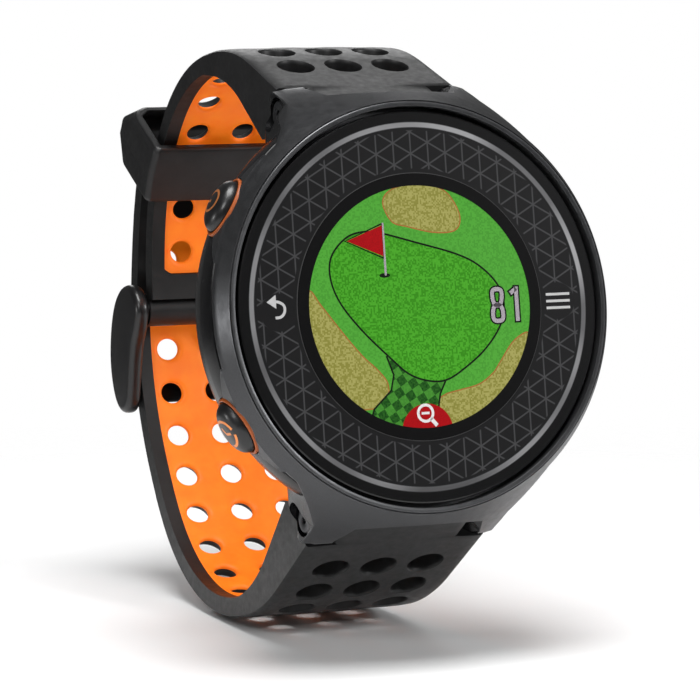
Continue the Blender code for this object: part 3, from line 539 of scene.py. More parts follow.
def screen():
    """The golf hole on the display: rough, green, bunkers, fairway, flag, distance and a zoom symbol."""
    rough = screen_colour("screen_rough", (0.062, 0.30, 0.030), (0.078, 0.36, 0.038), 0.45)
    green = screen_colour("screen_green", (0.035, 0.24, 0.008), (0.065, 0.36, 0.02), 0.5)
    sand = screen_colour("screen_sand", (0.24, 0.23, 0.045), (0.36, 0.34, 0.10), 0.5)
    rim = flat_paint("screen_sand_rim", (0.28, 0.12, 0.03), 0.2)
    dark = flat_paint("screen_dark", (0.004, 0.010, 0.004))
    red = flat_paint("screen_red", (0.26, 0.002, 0.004), 0.35)
    white = flat_paint("screen_white", (0.62, 0.60, 0.60), 0.15)
    grey = flat_paint("screen_grey", (0.30, 0.27, 0.30), 0.2)
    bunkers = {
        "top": [(-3.6, 11.0), (-2.6, 12.3), (0.0, 12.9), (2.4, 12.6), (4.1, 11.6), (5.2, 9.4), (4.6, 7.9),
                (2.2, 7.7), (-0.9, 8.4), (-2.7, 9.0)],
        "left": [(-12.6, 2.0), (-11.3, 0.5), (-9.0, -2.5), (-7.0, -4.9), (-5.3, -6.5), (-4.3, -8.0),
                 (-4.6, -9.8), (-5.9, -10.4), (-8.6, -10.0), (-11.4, -6.6), (-13.0, -2.0)],
        "right": [(12.4, -3.4), (10.6, -4.0), (8.8, -6.2), (7.9, -7.3), (6.2, -8.4), (4.0, -8.9),
                  (2.2, -9.3), (1.3, -10.2), (2.6, -12.7), (7.0, -11.2), (10.6, -7.6)],
    }
    green_edge = [(-4.0, 7.8), (0.0, 6.7), (4.4, 5.4), (7.0, 4.1), (9.0, 2.1), (9.7, -0.1), (9.0, -2.5),
                  (7.0, -4.9), (4.4, -6.8), (2.4, -7.8), (0.4, -7.8), (-1.8, -7.0), (-4.0, -5.1),
                  (-7.0, -2.1), (-9.2, 0.8), (-10.1, 3.4), (-9.8, 5.6), (-8.1, 7.4), (-6.2, 8.0)]
    fairway = [(-4.3, -5.0), (-1.8, -7.0), (0.4, -7.8), (2.4, -7.7), (1.6, -9.2), (0.9, -12.6),
               (-6.6, -12.0), (-6.1, -10.5), (-4.0, -8.6), (-3.6, -7.0)]
    decal("screen_base", [circle(13.0, 96)], rough, -0.010)
    for name, outline in bunkers.items():
        curve = smoothed(outline)
        decal(f"screen_bunker_{name}", [curve], sand, -0.020)
        decal(f"screen_bunker_{name}_rim", stroke(curve, 0.14, True), rim, -0.024)
    decal("screen_fairway", [fairway], checked("screen_checks", (0.004, 0.050, 0.004), (0.06, 0.27, 0.03),
                                               0.95, 30), -0.028)
    for name, edge in (("left", fairway[-4:] + fairway[:1]), ("right", fairway[3:6])):
        decal(f"screen_fairway_edge_{name}", stroke(edge, 0.2), dark, -0.030)
    curve = smoothed(green_edge)
    decal("screen_green_area", [curve], green, -0.032)
    decal("screen_green_edge", stroke(curve, 0.2, True), dark, -0.036)
    hole = [(-3.9 + 0.62 * u, 3.4 + 0.24 * v) for u, v in circle(1.0, 24)]
    decal("screen_hole", [hole], dark, -0.040)
    decal("screen_flag_pole", stroke([(-3.78, 3.4), (-3.78, 8.9)], 0.24), grey, -0.044)
    decal("screen_flag_edge", stroke([(-8.2, 7.1), (-3.9, 8.8), (-3.9, 5.2)], 0.22, True), dark, -0.046)
    decal("screen_flag", [[(-8.0, 7.1), (-3.9, 8.65), (-3.9, 5.4)]], red, -0.048)
    eight = [smoothed([(8.92, 1.5), (9.42, 1.3), (9.45, 0.5), (9.2, -0.13), (8.64, -0.13), (8.39, 0.5),
                       (8.42, 1.3)]),
             smoothed([(8.92, -1.86), (9.44, -1.66), (9.49, -0.8), (9.2, -0.23), (8.64, -0.23), (8.35, -0.8),
                       (8.4, -1.66)])]
    for name, width, longer, finish, y in (("edge", 0.78, 0.18, dark, -0.050),
                                           ("fill", 0.44, 0.0, grey, -0.054)):
        flag = [(10.5 - longer, 1.0 - longer / 2), (11.2, 1.5)]
        stem = [(11.2, 1.68 + longer), (11.2, -1.95 - longer)]
        strokes = [stroke(loop, width, True) for loop in eight] + [stroke(flag, width), stroke(stem, width)]
        decal(f"screen_distance_{name}", [quad for group in strokes for quad in group], finish, y)
    badge = arc(2.95, 0, 180, (-0.1, -13.1))
    decal("screen_badge", [badge], red, -0.050)
    ring = circle(0.85, 32, (-0.25, -11.15))
    marks = stroke(ring, 0.3, True) + stroke([(0.35, -11.75), (1.0, -12.5)], 0.42)
    marks += stroke([(-0.7, -11.15), (0.2, -11.15)], 0.26)
    decal("screen_zoom_symbol", marks, white, -0.056)
    mask = stroke(circle(13.35, 128), 1.3, True)
    decal("display_border", mask, flat_paint("border_ink", (0.003, 0.003, 0.0032)), -0.060)


def dial_symbols():
    # The symbols' glow of 0.05 is painted light: this print on the lens is no lamp.
    white = flat_paint("symbol_ink", (0.48, 0.48, 0.48), 0.05)
    for k in (-1, 0, 1):
        decal(f"menu_line_{k + 2}", stroke([(14.7, 0.72 * k), (17.5, 0.72 * k)], 0.27), white, -0.012)
    hook = [(-16.7, 1.1), (-16.1, 1.08), (-15.5, 0.7), (-15.45, 0.05), (-15.85, -0.45), (-16.5, -0.55)]
    quads = stroke(smoothed(hook, 8, False), 0.29)
    decal("back_hook", quads, white, -0.012)
    decal("back_arrow", [[(-17.4, 1.1), (-16.35, 1.85), (-16.35, 0.4)]], white, -0.014)


# ---------------------------------------------------------------- case


def slope_y(radius):
    """Depth of the bezel's slope, which runs on over the lugs, at a radius."""
    if radius < 22.6:
        return -0.3 + 1.6 * (radius - 21.66) / 0.94
    return 1.3 + 1.72 * (radius - 22.6) + 0.12 * (radius - 22.6) ** 2


def case_outline(from_top):
    """Outer radius of the front housing at an angle (degrees) from the 12-6 line."""
    a = radians(from_top)
    lug = min(LUG_END_Z / cos(a), LUG_OUTER_X / max(sin(a), 1e-6))
    # From the lug's corner the flank runs straight to meet the round case.
    corner, meet = Vector((LUG_OUTER_X, 22.2)), Vector((14.3, 17.8))
    normal = Vector((corner.y - meet.y, meet.x - corner.x)).normalized()
    flank = corner.dot(normal) / max(1e-6, sin(a) * normal.x + cos(a) * normal.y)
    if from_top < 26.8:
        return max(BEZEL_RADIUS, lug)
    return max(BEZEL_RADIUS, flank) if from_top < 60 else BEZEL_RADIUS


def front_housing():
    """The metal bezel with its lugs and collars.

    Known fault: the mesh has open edges where the collars join it, and most of its faces point inwards.
    """
    rings = []
    for k in range(360):
        angle = radians(k)
        from_top = abs(((k + 90) % 180) - 90)
        outer = case_outline(from_top)
        back = skirt_depth(from_top)
        inner = 21.4
        if back > 3.6:
            inner = min(22.95, 19.2 / max(0.3, cos(radians(from_top))))
            inner = min(inner, outer - 0.05)
        start = 21.68
        slope = [start + (outer - 0.12 - start) * t / 6 for t in range(7)]
        section = [(21.0, 2.05), (21.0, -0.28), (21.06, -0.40), (21.18, -0.45), (21.46, -0.45),
                   (21.54, -0.38), (21.58, -0.16), (21.66, -0.12)]
        section += [(r, slope_y(r)) for r in slope]
        section += [(outer, slope_y(outer) + 0.14), (outer, max(back, slope_y(outer) + 0.25)),
                    (inner, max(back, 1.85)), (min(inner, 21.4), 3.4), (18.0, 3.4), (18.0, 2.05)]
        rings.append([(r * sin(angle), y, r * cos(angle)) for r, y in section])
    shell = lofted(rings, closed=True)
    cutters, parts = lug_cuts(), []
    for angle in (BUTTON_ANGLE, -BUTTON_ANGLE):
        parts.append(brow(angle))
        cutters.append(pocket(angle, 0.25, 18.9))
    shell = combined(combined(shell, parts, "UNION"), cutters, "DIFFERENCE")
    piece("housing", shell, GUNMETAL, "case", ["front_housing"], bevel=0.1, angle=28)


def lug_cuts():
    """What is taken from the lugs: the strap's slot, the rounded nose, the pin's hole and its recesses."""
    cutters = []
    for side in (1, -1):
        slot = [(5.4, side * 30), (20, side * 30), (20, side * 17), (5.4, side * 17)]
        cutters.append(across(slot, -7.5, 7.5))
        tongue = [(-7.4, side * 22.8), (-8.5, side * 23.9), (-8.5, side * 30), (8.5, side * 30),
                  (8.5, side * 23.9), (7.4, side * 22.8)]
        cutters.append(plate(tongue, -2.0, 20.0))
        nose = [(PIN_Y + 2.6 * sin(radians(t)), side * (PIN_Z + 2.6 * cos(radians(t))))
                for t in range(0, 121, 15)]
        nose += [(20, side * 20.0), (20, side * 30), (PIN_Y, side * 30)]
        cutters.append(across(nose, -14, 14))
        cutters.append(rod((-20, PIN_Y, side * PIN_Z), (1, 0, 0), 1.3, 40, 32))
        for hand in (1, -1):
            start = (hand * (LUG_OUTER_X - 0.95), PIN_Y, side * PIN_Z)
            cutters.append(rod(start, (hand, 0, 0), 1.85, 6.0, 48))
    return cutters


def towards_lug(from_top):
    """0 on the round flank, 1 on a lug, with an even change between."""
    reach = min(1.0, max(0.0, (37.0 - from_top) / 8.0))
    return reach * reach * (3 - 2 * reach)


def skirt_depth(from_top):
    """Depth at which the metal housing ends and the black case begins."""
    return 1.8 + 4.5 * towards_lug(from_top)


def lug_blocks():
    """The black half of the lugs, behind the metal housing, one block across each end."""
    # Share of the way back, radius on the round case, and how far a lug's edge is drawn in.
    flank = ((0.1, 22.55, 0.0), (0.5, 21.9, 0.0), (0.85, 21.0, 0.12), (1.0, 20.4, 0.7))
    for label, turn in (("upper", 0), ("lower", 180)):
        rings = []
        for k in range(-36, 37):
            a = radians(k + turn)
            outer = case_outline(abs(k)) - 0.1
            share = towards_lug(abs(k))
            flat = skirt_depth(abs(k)) + 0.02
            # Past the flat part the front stays just behind the housing's slope.
            front = min(LUG_BACK - 0.3, max(flat, slope_y(outer + 0.1) + 0.27))
            side_wall = [(share * (outer - edge) + (1 - share) * (round_r - 0.05),
                          front + (LUG_BACK - front) * down) for down, round_r, edge in flank]
            inner = min(19.2 / cos(radians(k)), side_wall[-1][0] - 0.4)
            section = [(inner, LUG_BACK), (inner, flat), (min(24.9, outer - 0.05), flat),
                       (share * outer + (1 - share) * 22.7, front), *side_wall]
            rings.append([(r * sin(a), y, r * cos(a)) for r, y in section])
        body = combined(lofted(rings), lug_cuts(), "DIFFERENCE")
        piece(f"lug_block_{label}", body, BLACK_PLASTIC, "case", ["front_housing"],
              bevel=0.08, angle=40)


def cap_ring(out, along, extra, distance, share=1.0, steps=72):
    """An oval about a button's axis: the cap's outline, scaled by `share` and widened by `extra`."""
    centre = Vector((0, BUTTON_Y, 0)) + out * distance
    return [centre + along * (CAP_HALF_LENGTH * share + extra) * u
            + Vector((0, (CAP_HALF_HEIGHT * share + extra) * v, 0)) for u, v in circle(1.0, steps)]


def pocket(angle_deg, gap, inner):
    """The cutter for a button with its trim ring, from the radius `inner` out through the case."""
    out, along = radial(angle_deg)
    return lofted([cap_ring(out, along, RING_WIDTH + gap, d, steps=64) for d in (inner, 26.0)])


def flats(z):
    """Cutters that leave the case flat beyond z at 12 and 6 o'clock."""
    return [plate([(-30, side * z), (30, side * z), (30, side * 30), (-30, side * 30)], 0.0, 15.0)
            for side in (1, -1)]


def brow(angle_deg):
    """The collar between the bezel and a button, drawn out to a point at each end."""
    rings = []
    for k in range(33):
        t = -1 + k / 16
        a = radians(180 - angle_deg + 16.2 * t)
        deep = 1.7 + 2.9 * max(0.0, 1 - abs(t) ** 1.6) ** 0.9
        section = [(21.2, 1.0), (22.3, 1.0), (22.86, 1.75), (22.95, deep - 0.02), (22.6, deep + 0.2),
                   (21.2, deep + 0.2)]
        rings.append([(r * cos(a), y, r * sin(a)) for r, y in section])
    return lofted(rings)


def mid_case():
    profile = [(21.7, 2.05), (22.4, 2.05), (22.72, 2.3), (22.84, 3.0), (CASE_RADIUS, 4.7), (22.86, 5.0),
               (22.55, 6.6), (21.9, 8.6), (21.0, 10.3), (20.4, 11.0), (17.8, 11.0), (17.8, 10.2),
               (17.0, 10.2), (17.0, 3.7), (21.7, 3.7)]
    cutters = flats(CASE_FLAT_Z)
    for angle in (BUTTON_ANGLE, -BUTTON_ANGLE):
        cutters.append(pocket(angle, 0.2, POCKET_FLOOR))
        cutters.append(brow(angle))
    body = combined(turned(profile, 180), cutters, "DIFFERENCE")
    piece("case_band", body, BLACK_PLASTIC, "case", ["mid_case"], bevel=0.08, angle=40)


def back_cover():
    profile = [(0, 11.3), (20.3, 11.3), (20.3, 11.7), (20.0, 12.15), (19.2, 12.55), (18.4, 12.7), (0, 12.7)]
    bm = turned(profile, 144, closed=False)
    cutters = flats(18.5)
    spread = 18.65 / sqrt(2)
    for sx in (1, -1):
        for sz in (1, -1):
            cutters.append(rod((sx * spread, 12.0, sz * spread), (0, 1, 0), 1.45, 4.0, 32))
    for k in range(4):
        cutters.append(rod((-4.5 + 3.0 * k, 10.3, -7.0), (0, 1, 0), 1.1, 4.0, 32))
    bm = combined(bm, cutters, "DIFFERENCE")
    piece("rear_cover", bm, BLACK_PLASTIC, "case", ["back_cover"], bevel=0.1, angle=40)


def lug_screws():
    for label, side in (("upper", 1), ("lower", -1)):
        for name, hand in (("left", -1), ("right", 1)):
            seat = Vector((hand * (LUG_OUTER_X - 0.75), PIN_Y, side * PIN_Z))
            head = [(0, -2.6), (0.42, -2.6), (0.42, 0.0), (1.5, 0.0), (1.55, 0.08), (1.5, 0.42),
                    (1.35, 0.55), (0.62, 0.55), (0.5, 0.5), (0.5, 0.2), (0, 0.2)]
            bm = turned_along(head, seat, (hand, 0, 0), 48)
            piece(f"lug_screw_head_{label}_{name}", bm, DARK_STEEL, "case",
                  [f"lug_screw_{label}_{name}"], angle=30)


def button(label, angle):
    out, along = radial(angle)
    centre = Vector((0, BUTTON_Y, 0))

    def dome(share):
        """Height of the cap's dome over its rim, for a share of the way out."""
        return (CAP_TOP - RING_TOP) * sqrt(max(0.0, 1 - share ** 3.4 * 0.985)) + RING_TOP - 0.12

    levels = [(0.97, 21.7), (1.0, 21.8)]
    levels += [(cos(radians(t)), dome(cos(radians(t)))) for t in range(0, 85, 7)]
    cap = lofted([cap_ring(out, along, 0.0, d, share) for share, d in levels])
    stem = rod(centre + out * 16.1, out, 0.8, 5.8, 32)
    piece(f"{label}_button_cap", combined(cap, [stem], "UNION"), GLOSS_BLACK, f"{label}_button",
          [f"button_{label}_cap"], angle=50)

    inner, outer = 0.1, 0.1 + RING_WIDTH
    section = ((inner, POCKET_FLOOR + 0.3), (inner, RING_TOP - 0.1), (inner + 0.1, RING_TOP),
               (outer - 0.12, RING_TOP), (outer, RING_TOP - 0.12), (outer, POCKET_FLOOR + 0.3))
    rings = [cap_ring(out, along, extra, d) for extra, d in section]
    piece(f"{label}_button_trim", lofted(rings, closed=True), BUTTON_ORANGE, "case",
          [f"button_{label}_ring"], angle=50)

    if label == "upper":
        marks = [arc(1.2, 125, 415, steps=30), [(0.0, 0.25 * k) for k in range(1, 7)]]
    else:
        hands = [(0.0, -0.25 * k) for k in range(4, 0, -1)] + [(0.25 * k, 0.15 * k) for k in range(4)]
        marks = [arc(1.5, -75, 150, steps=30), arc(1.5, 172, 262, steps=16), hands]
    bm = bmesh.new()
    for mark in marks:
        for quad in stroke(mark, 0.3):
            points = []
            for u, v in quad:
                share = hypot(u / CAP_HALF_LENGTH, v / CAP_HALF_HEIGHT)
                points.append(centre + out * (dome(share) + 0.02) + along * u + Vector((0, v, 0)))
            bm.faces.new([bm.verts.new(p) for p in points])
    piece(f"{label}_button_symbol", bm, COPPER_INK, f"{label}_button")


# ---------------------------------------------------------------- strap


class Path:
    """The outer line of a strap half in the YZ plane, from its root: straight lines and arcs."""

    def __init__(self, steps, side):
        self.side = side
        self.steps = steps
        self.length = sum(length for length, _ in steps)

    def at(self, s):
        """Point and heading (radians from +Y, towards 12 o'clock) at arc length s."""
        y, z, heading = ROOT_Y, ROOT_Z, radians(ROOT_SLOPE)
        for length, turn in self.steps:
            part = min(max(s, 0.0), length)
            turned_by = radians(turn) * part / length
            chord = part if turn == 0 else 2 * length / radians(turn) * sin(turned_by / 2)
            y += chord * cos(heading - turned_by / 2)
            z += chord * sin(heading - turned_by / 2)
            heading -= turned_by
            s -= length
            if s <= 0:
                break
        return y, z * self.side, heading * self.side

    def point(self, s, x, outward):
        y, z, heading = self.at(s)
        normal = (-sin(heading) * self.side, cos(heading) * self.side)
        return Vector((x, y + normal[0] * outward, z + normal[1] * outward))


def thickness(s):
    """The strap is a wedge behind its lugs and thins to an even band."""
    root = 3.6 + 0.47 * s
    wedge = STRAP_THICKNESS + 6.2 * max(0.0, 1 - s / 28.0) ** 1.2
    return min(root, wedge)


def crown(x, half):
    """How far the outer face drops towards the strap's edges."""
    share = min(1.0, abs(x) / half)
    return 0.15 * share ** 2.5 + 0.2 * max(0.0, (share - 0.95) / 0.05) ** 2


def perforated(path, stations, lines, rows, columns, fine, top, floor, bottom, width, hole):
    """A band with holes, as one closed skin.

    rows and columns are the fine cells that end at floor; the others end at bottom. A hole sits on the
    middle of every block of 2 x fine cells, and `hole` lists its (radius, share of the way down).
    """
    bm = bmesh.new()
    made = {}
    last = len(lines) - 1

    def place(i, j):
        half = width(stations[i])
        if j in (0, last):
            return half if j else -half
        return max(-half + 0.3, min(half - 0.3, lines[j] * min(1.0, (half - 1.0) / abs(lines[2]))))

    def vert(i, j, level):
        key = (i, j, level)
        if key not in made:
            s, x = stations[i], place(i, j)
            made[key] = bm.verts.new(path.point(s, x, level(s, x)))
        return made[key]

    def thin(i, j):
        return i in rows and j in columns

    block = 2 * fine
    first_i, first_j = min(rows), min(columns)

    def in_hole(i, j):
        """A cell within the square that a hole's rings fill."""
        if not thin(i, j):
            return False
        a, b = (i - first_i) % block, (j - first_j) % block
        return hole and 1 <= a < block - 1 and 1 <= b < block - 1

    for i in range(len(stations) - 1):
        for j in range(last):
            corners = ((i, j), (i + 1, j), (i + 1, j + 1), (i, j + 1))
            low = floor if thin(i, j) else bottom
            if not in_hole(i, j):
                bm.faces.new([vert(a, b, top) for a, b in corners])
                bm.faces.new([vert(a, b, low) for a, b in reversed(corners)])
            for (a, b), (c, d), (ni, nj) in (
                (corners[0], corners[1], (i, j - 1)), (corners[1], corners[2], (i + 1, j)),
                (corners[2], corners[3], (i, j + 1)), (corners[3], corners[0], (i - 1, j)),
            ):
                if not (0 <= ni < len(stations) - 1 and 0 <= nj < last):
                    bm.faces.new((vert(a, b, top), vert(c, d, top), vert(c, d, low), vert(a, b, low)))
                elif thin(i, j) and not thin(ni, nj):
                    bm.faces.new((vert(a, b, floor), vert(c, d, floor), vert(c, d, bottom),
                                  vert(a, b, bottom)))
    if not hole:
        return bm
    side = block - 2
    for i0 in range(first_i, max(rows) + 1, block):
        for j0 in range(first_j, max(columns) + 1, block):
            ci, cj = i0 + fine, j0 + fine
            r = fine - 1
            around = [(ci - r, cj - r + k) for k in range(side)]
            around += [(ci - r + k, cj + r) for k in range(side)]
            around += [(ci + r, cj + r - k) for k in range(side)]
            around += [(ci + r - k, cj - r) for k in range(side)]
            s0, x0 = stations[ci], lines[cj]
            turns = [atan2(place(a, b) - x0, stations[a] - s0) for a, b in around]
            rings = [[vert(a, b, top) for a, b in around]]
            for radius, share in hole:
                ring = []
                for turn in turns:
                    s, x = s0 + radius * cos(turn), x0 + radius * sin(turn)
                    level = top(s, x) * (1 - share) + floor(s, x) * share
                    ring.append(bm.verts.new(path.point(s, x, level)))
                rings.append(ring)
            rings.append([vert(a, b, floor) for a, b in around])
            for one, two in zip(rings, rings[1:]):
                for k in range(4 * side):
                    n = (k + 1) % (4 * side)
                    bm.faces.new((one[k], one[n], two[n], two[k]))
    return bm


def half_width(s, length, tip):
    if s < SHOULDER - 0.01:
        return TONGUE_HALF_WIDTH
    width = STRAP_HALF_WIDTH + (TAIL_HALF_WIDTH - STRAP_HALF_WIDTH) * min(1.0, s / 60.0)
    if tip and s > length - TIP_LENGTH:
        width *= sqrt(max(0.0, 1 - 0.86 * ((s - length + TIP_LENGTH) / TIP_LENGTH) ** 2))
    return width


def strap_half(label, steps, side, first_row, count, tip):
    path = Path(steps, side)
    fine = 5
    cell = ROW_PITCH / 2 / fine
    stations = [0.0, 0.25, 0.8, 1.6, 2.4, 3.2, SHOULDER - 0.2, SHOULDER]
    start = first_row - ROW_PITCH / 2
    lead = max(2, round((start - SHOULDER) / 0.8))
    stations += [SHOULDER + (start - SHOULDER) * k / lead for k in range(1, lead)]
    first = len(stations)
    stations += [start + cell * k for k in range(2 * fine * count + 1)]
    rows = range(first, first + 2 * fine * count)
    end, length = stations[-1], path.length
    if tip:
        stations += [end + (length - TIP_LENGTH - end) * k / 3 for k in (1, 2, 3)]
        stations += [length - TIP_LENGTH + TIP_LENGTH * sin(pi / 2 * k / 12) for k in range(1, 13)]
    else:
        stations += [end + (length - end) * k / 4 for k in range(1, 5)]
    rail = 1.5 * COLUMN_PITCH
    inner = [COLUMN_PITCH / 2 / fine * k for k in range(-3 * fine, 3 * fine + 1)]
    lines = [-10.5, -10.25, -9.0, *inner, 9.0, 10.25, 10.5]
    columns = range(3, 3 + 6 * fine)

    def width(s):
        return half_width(s, length, tip)

    def edge_drop(s, x):
        half = width(s)
        drop = crown(x, half)
        if tip and s > length - 1.2:
            drop += 0.5 * ((s - length + 1.2) / 1.2) ** 2
        return drop

    hole = [(2.1, 0.0), (2.02, 0.02), (1.95, 0.1), (1.88, 0.3), (1.7, 0.62), (1.5, 0.9), (1.45, 1.0)]
    body = perforated(path, stations, lines, rows, columns, fine, lambda s, x: -edge_drop(s, x),
                      lambda s, x: 0.95 - thickness(s), lambda s, x: -thickness(s) - 0.05, width, hole)
    corners = []
    for hand in (1, -1):
        fillet = [(end + 0.2, hand * (rail + 0.2)), (end - 2.0, hand * (rail + 0.2))]
        fillet += [(end - 2.0 + 2.0 * sin(radians(t)), hand * (rail - 2.0 + 2.0 * cos(radians(t))))
                   for t in range(0, 91, 15)] + [(end + 0.2, hand * (rail - 2.0))]
        corners.append(lofted([[path.point(s, x, level - thickness(s)) for s, x in fillet]
                               for level in (0.7, 0.0)]))
    body = combined(body, corners, "UNION")
    extra = [rod((-9, PIN_Y, side * PIN_Z), (1, 0, 0), 1.3, 18, 32)]
    if not tip:
        barrel = rod((-9.5, BAR_Y, BAR_Z), (1, 0, 0), 1.9, 19.0, 48)
        body = combined(body, [barrel], "UNION")
        extra.append(rod((-12, BAR_Y, BAR_Z), (1, 0, 0), 1.1, 24, 32))
        slot = [(BAR_Y - 2.6, BAR_Z - 3.0), (BAR_Y + 3.0, BAR_Z - 3.0), (BAR_Y + 3.0, BAR_Z + 2.6),
                (BAR_Y - 2.6, BAR_Z + 2.6)]
        extra.append(across(slot, -1.0, 1.0))
    body = combined(body, extra, "DIFFERENCE")
    piece(f"{label}_strap_rubber", body, BLACK_RUBBER, f"{label}_strap", [f"strap_{label}"],
          bevel=0.18, angle=40)

    # The inlay: its back lies on the recess's floor, its visible face sits under the black rim.
    stations = [stations[k] for k in range(rows[0], rows[-1] + 2)]
    stations[0] += 0.1
    stations[-1] -= 0.1
    hole = [(1.3, 0.0), (1.3, 0.3), (1.38, 0.62), (1.55, 0.86), (1.8, 0.97), (2.05, 1.0)]
    half = rail - 0.1
    inlay_lines = [-half, -half + 0.05, *inner[1:-1], half - 0.05, half]
    body = perforated(path, stations, inlay_lines, range(0, len(stations) - 1), range(1, 1 + 6 * fine), fine,
                      lambda s, x: 0.9 - thickness(s), lambda s, x: 0.40 - thickness(s),
                      lambda s, x: 0.40 - thickness(s), lambda s: half, hole)
    piece(f"{label}_strap_lining", body, ORANGE_RUBBER, f"{label}_strap",
          [f"strap_{label}_inlay"], angle=40)
    return path


# ---------------------------------------------------------------- buckle and keeper


def pillow(outline, start, end, soft):
    """A plate between two X planes whose edges are rounded off by `soft`."""
    count = len(outline)
    area = sum(outline[k - 1][0] * outline[k][1] - outline[k][0] * outline[k - 1][1] for k in range(count))
    rings = []
    turns = [radians(15 * k) for k in range(7)]
    steps = [(start, 1, turn) for turn in turns] + [(end, -1, turn) for turn in reversed(turns)]
    for plane, inward, turn in steps:
        x = plane + inward * (1 if end > start else -1) * soft * (1 - cos(turn))
        ring = []
        for k in range(count):
            (y0, z0), (y1, z1) = outline[k - 1], outline[(k + 1) % count]
            inset = soft * (1 - sin(turn)) / hypot(y1 - y0, z1 - z0) * (1 if area > 0 else -1)
            ring.append((x, outline[k][0] - (z1 - z0) * inset, outline[k][1] + (y1 - y0) * inset))
        rings.append(ring)
    return lofted(rings)


def buckle():
    arm = smoothed([(52.8, 3.8), (53.3, 5.4), (54.6, 6.6), (56.4, 7.0), (58.4, 6.6), (60.4, 5.1),
                    (61.9, 2.6), (62.8, -0.6), (62.8, -3.4), (62.0, -6.0), (60.6, -7.5), (58.9, -7.8),
                    (57.6, -6.9), (56.9, -5.0), (56.2, -2.8), (55.2, -0.4), (53.6, 1.8)], 4)
    bar = smoothed([(60.95, -5.6), (61.2, -4.4), (62.1, -4.2), (62.6, -5.0), (62.0, -6.5), (61.2, -6.7)], 5)
    body = combined(pillow(arm, -9.85, -11.6, 0.7), [across(bar, -10.5, 10.5), pillow(arm, 9.85, 11.6, 0.7)],
                    "UNION")
    groove = [(61.6, -2.5), (65.0, -2.5), (65.0, -9.0), (61.6, -9.0)]
    cuts = [rod((-11.2, BAR_Y, BAR_Z), (1, 0, 0), 1.1, 22.4, 32), across(groove, -1.0, 1.0)]
    piece("buckle_loop", combined(body, cuts, "DIFFERENCE"), GLOSS_BLACK, "buckle",
          ["buckle_frame"], bevel=0.08, angle=50)


def keeper(path):
    """The loop that holds the strap's free end: its outer wall rises to a ridge between two slopes."""
    y, z, heading = path.at(KEEPER_ALONG)
    along = Vector((0, cos(heading), sin(heading)))
    out = Vector((0, -sin(heading), cos(heading)))
    centre = Vector((0, y, z))
    sections = ((-3.6, 5.4, 0.5), (-3.1, 6.0, 0.15), (-1.1, 8.3, 0.0), (0.4, 8.3, 0.0), (3.1, 6.3, 0.15),
                (3.6, 5.7, 0.5))
    rings, holes = [], []
    for s, high, inset in sections:
        half, low = 11.6 - inset, -4.3 + inset * 0.6
        outline = [(-half, low + 0.5), (0.5 - half, low), (half - 0.5, low), (half, low + 0.5),
                   (half, high - 2.2), (half - 0.6, high - 0.9), (half - 2.0, high), (2.0 - half, high),
                   (0.6 - half, high - 0.9), (-half, high - 2.2)]
        rings.append([centre + along * s + out * n + Vector((x, 0, 0)) for x, n in outline])
    for s, high in ((-6.0, 3.9), (-3.6, 4.6), (-1.1, 6.9), (0.4, 6.9), (3.6, 4.7), (6.0, 4.2)):
        window = [(-10.3, -3.05), (10.3, -3.05), (10.3, high - 1.2), (9.2, high), (-9.2, high),
                  (-10.3, high - 1.2)]
        holes.append([centre + along * s + out * n + Vector((x, 0, 0)) for x, n in window])
    bm = combined(lofted(rings), [lofted(holes)], "DIFFERENCE")
    piece("keeper_band", bm, BLACK_RUBBER, "keeper", ["keeper_loop"], bevel=0.3, angle=25)


# ---------------------------------------------------------------- stage


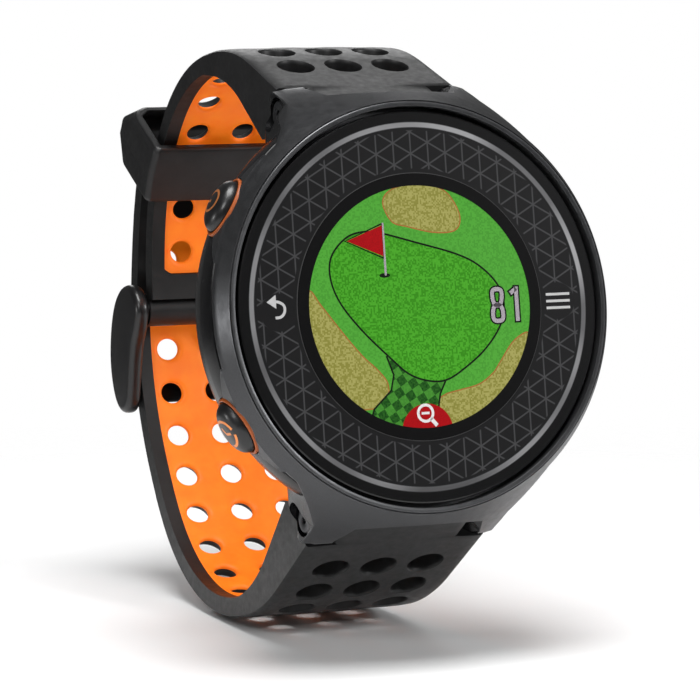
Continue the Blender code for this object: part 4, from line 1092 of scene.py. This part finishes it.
def stage():
    """A pale floor that fades into a white backdrop, soft boxes and the camera."""
    paint = Shader("pale_floor", roughness=0.7)
    mottle = paint.ramp(paint.noise(0.02), 0.3, 0.7)
    paint.set(base_color=paint.mix(mottle, (0.88, 0.88, 0.88), (0.92, 0.92, 0.92)))
    spot = paint.node("ShaderNodeVectorMath", {0: paint.place(), 1: (1.0, 1.0, 0.0)}, operation="MULTIPLY")
    away = paint.node("ShaderNodeVectorMath", {0: spot}, out=1, operation="LENGTH")
    paint.set(alpha=paint.ramp(away, 80.0, 190.0, 1.0, 0.0))
    size = 0.6
    mesh = bpy.data.meshes.new("floor")
    low, rise = FLOOR_Z * MM, size * FLOOR_SLOPE
    mesh.from_pydata([(-size, -size, low - rise), (size, -size, low - rise), (size, size, low + rise),
                      (-size, size, low + rise)], [], [(0, 1, 2, 3)])
    mesh.materials.append(paint.material)
    placed("floor", mesh)

    world = bpy.data.worlds.new("studio")
    world.use_nodes = True
    tree = world.node_tree
    background = tree.nodes["Background"]
    path = tree.nodes.new("ShaderNodeLightPath")
    brightness = tree.nodes.new("ShaderNodeMapRange")
    brightness.inputs["To Min"].default_value = 0.09
    brightness.inputs["To Max"].default_value = 1.0
    tree.links.new(path.outputs["Is Camera Ray"], brightness.inputs["Value"])
    tree.links.new(brightness.outputs[0], background.inputs["Strength"])
    background.inputs["Color"].default_value = (1.0, 1.0, 1.0, 1.0)
    bpy.context.scene.world = world

    target = Vector((0.0, 0.02, 0.0))
    for name, place, size_m, watts in (
        ("top_softbox", (-0.05, -0.20, 0.52), 0.32, 3.8),
        ("left_strip", (-0.50, 0.02, 0.00), 0.10, 0.4),
        ("front_left", (-0.40, -0.48, 0.28), 0.20, 1.1),
        ("right_fill", (0.36, -0.34, 0.13), 0.14, 1.1),
        ("back_rim", (0.20, 0.50, 0.35), 0.25, 0.5),
    ):
        light = bpy.data.lights.new(name, "AREA")
        light.energy = watts
        light.size = size_m
        obj = placed(name, light)
        obj.location = place
        obj.rotation_mode = "QUATERNION"
        obj.rotation_quaternion = (target - Vector(place)).to_track_quat("-Z", "Y")

    a, e, r = radians(AZIMUTH), radians(ELEVATION), radians(ROLL)
    back = Vector((sin(a) * cos(e), -cos(a) * cos(e), sin(e)))
    level = Vector((cos(a), sin(a), 0.0))
    upright = back.cross(level)
    right = level * cos(r) + upright * sin(r)
    up = upright * cos(r) - level * sin(r)
    at = back * DISTANCE + right * AIM_RIGHT + up * AIM_UP
    data = bpy.data.cameras.new("front_left_view")
    data.lens = LENS_MM
    data.sensor_width = 36.0
    camera = placed("front_left_view", data)
    turn = Matrix((right, up, back)).transposed().to_4x4()
    camera.matrix_world = Matrix.Translation(at * MM) @ turn
    bpy.context.scene.camera = camera
    bpy.context.scene.view_settings.view_transform = "Standard"


def dress_cad():
    """Procedural finishes for the CAD pieces that stay as they are, mostly inside the case."""
    for part in frame["record"]["subparts"]:
        node = frame["nodes"][part["node"]]
        node.data.materials.clear()
        node.data.materials.append(SLOTS[part["material_slot"]])


def build():
    dress_cad()
    lens()
    screen()
    dial_symbols()
    front_housing()
    lug_blocks()
    mid_case()
    back_cover()
    lug_screws()
    button("upper", BUTTON_ANGLE)
    button("lower", -BUTTON_ANGLE)
    upper_path = strap_half("upper", UPPER_PATH, 1, UPPER_FIRST_ROW, UPPER_ROWS, False)
    strap_half("lower", LOWER_PATH, -1, LOWER_FIRST_ROW, LOWER_ROWS, True)
    buckle()
    keeper(upper_path)
    stage()


build()
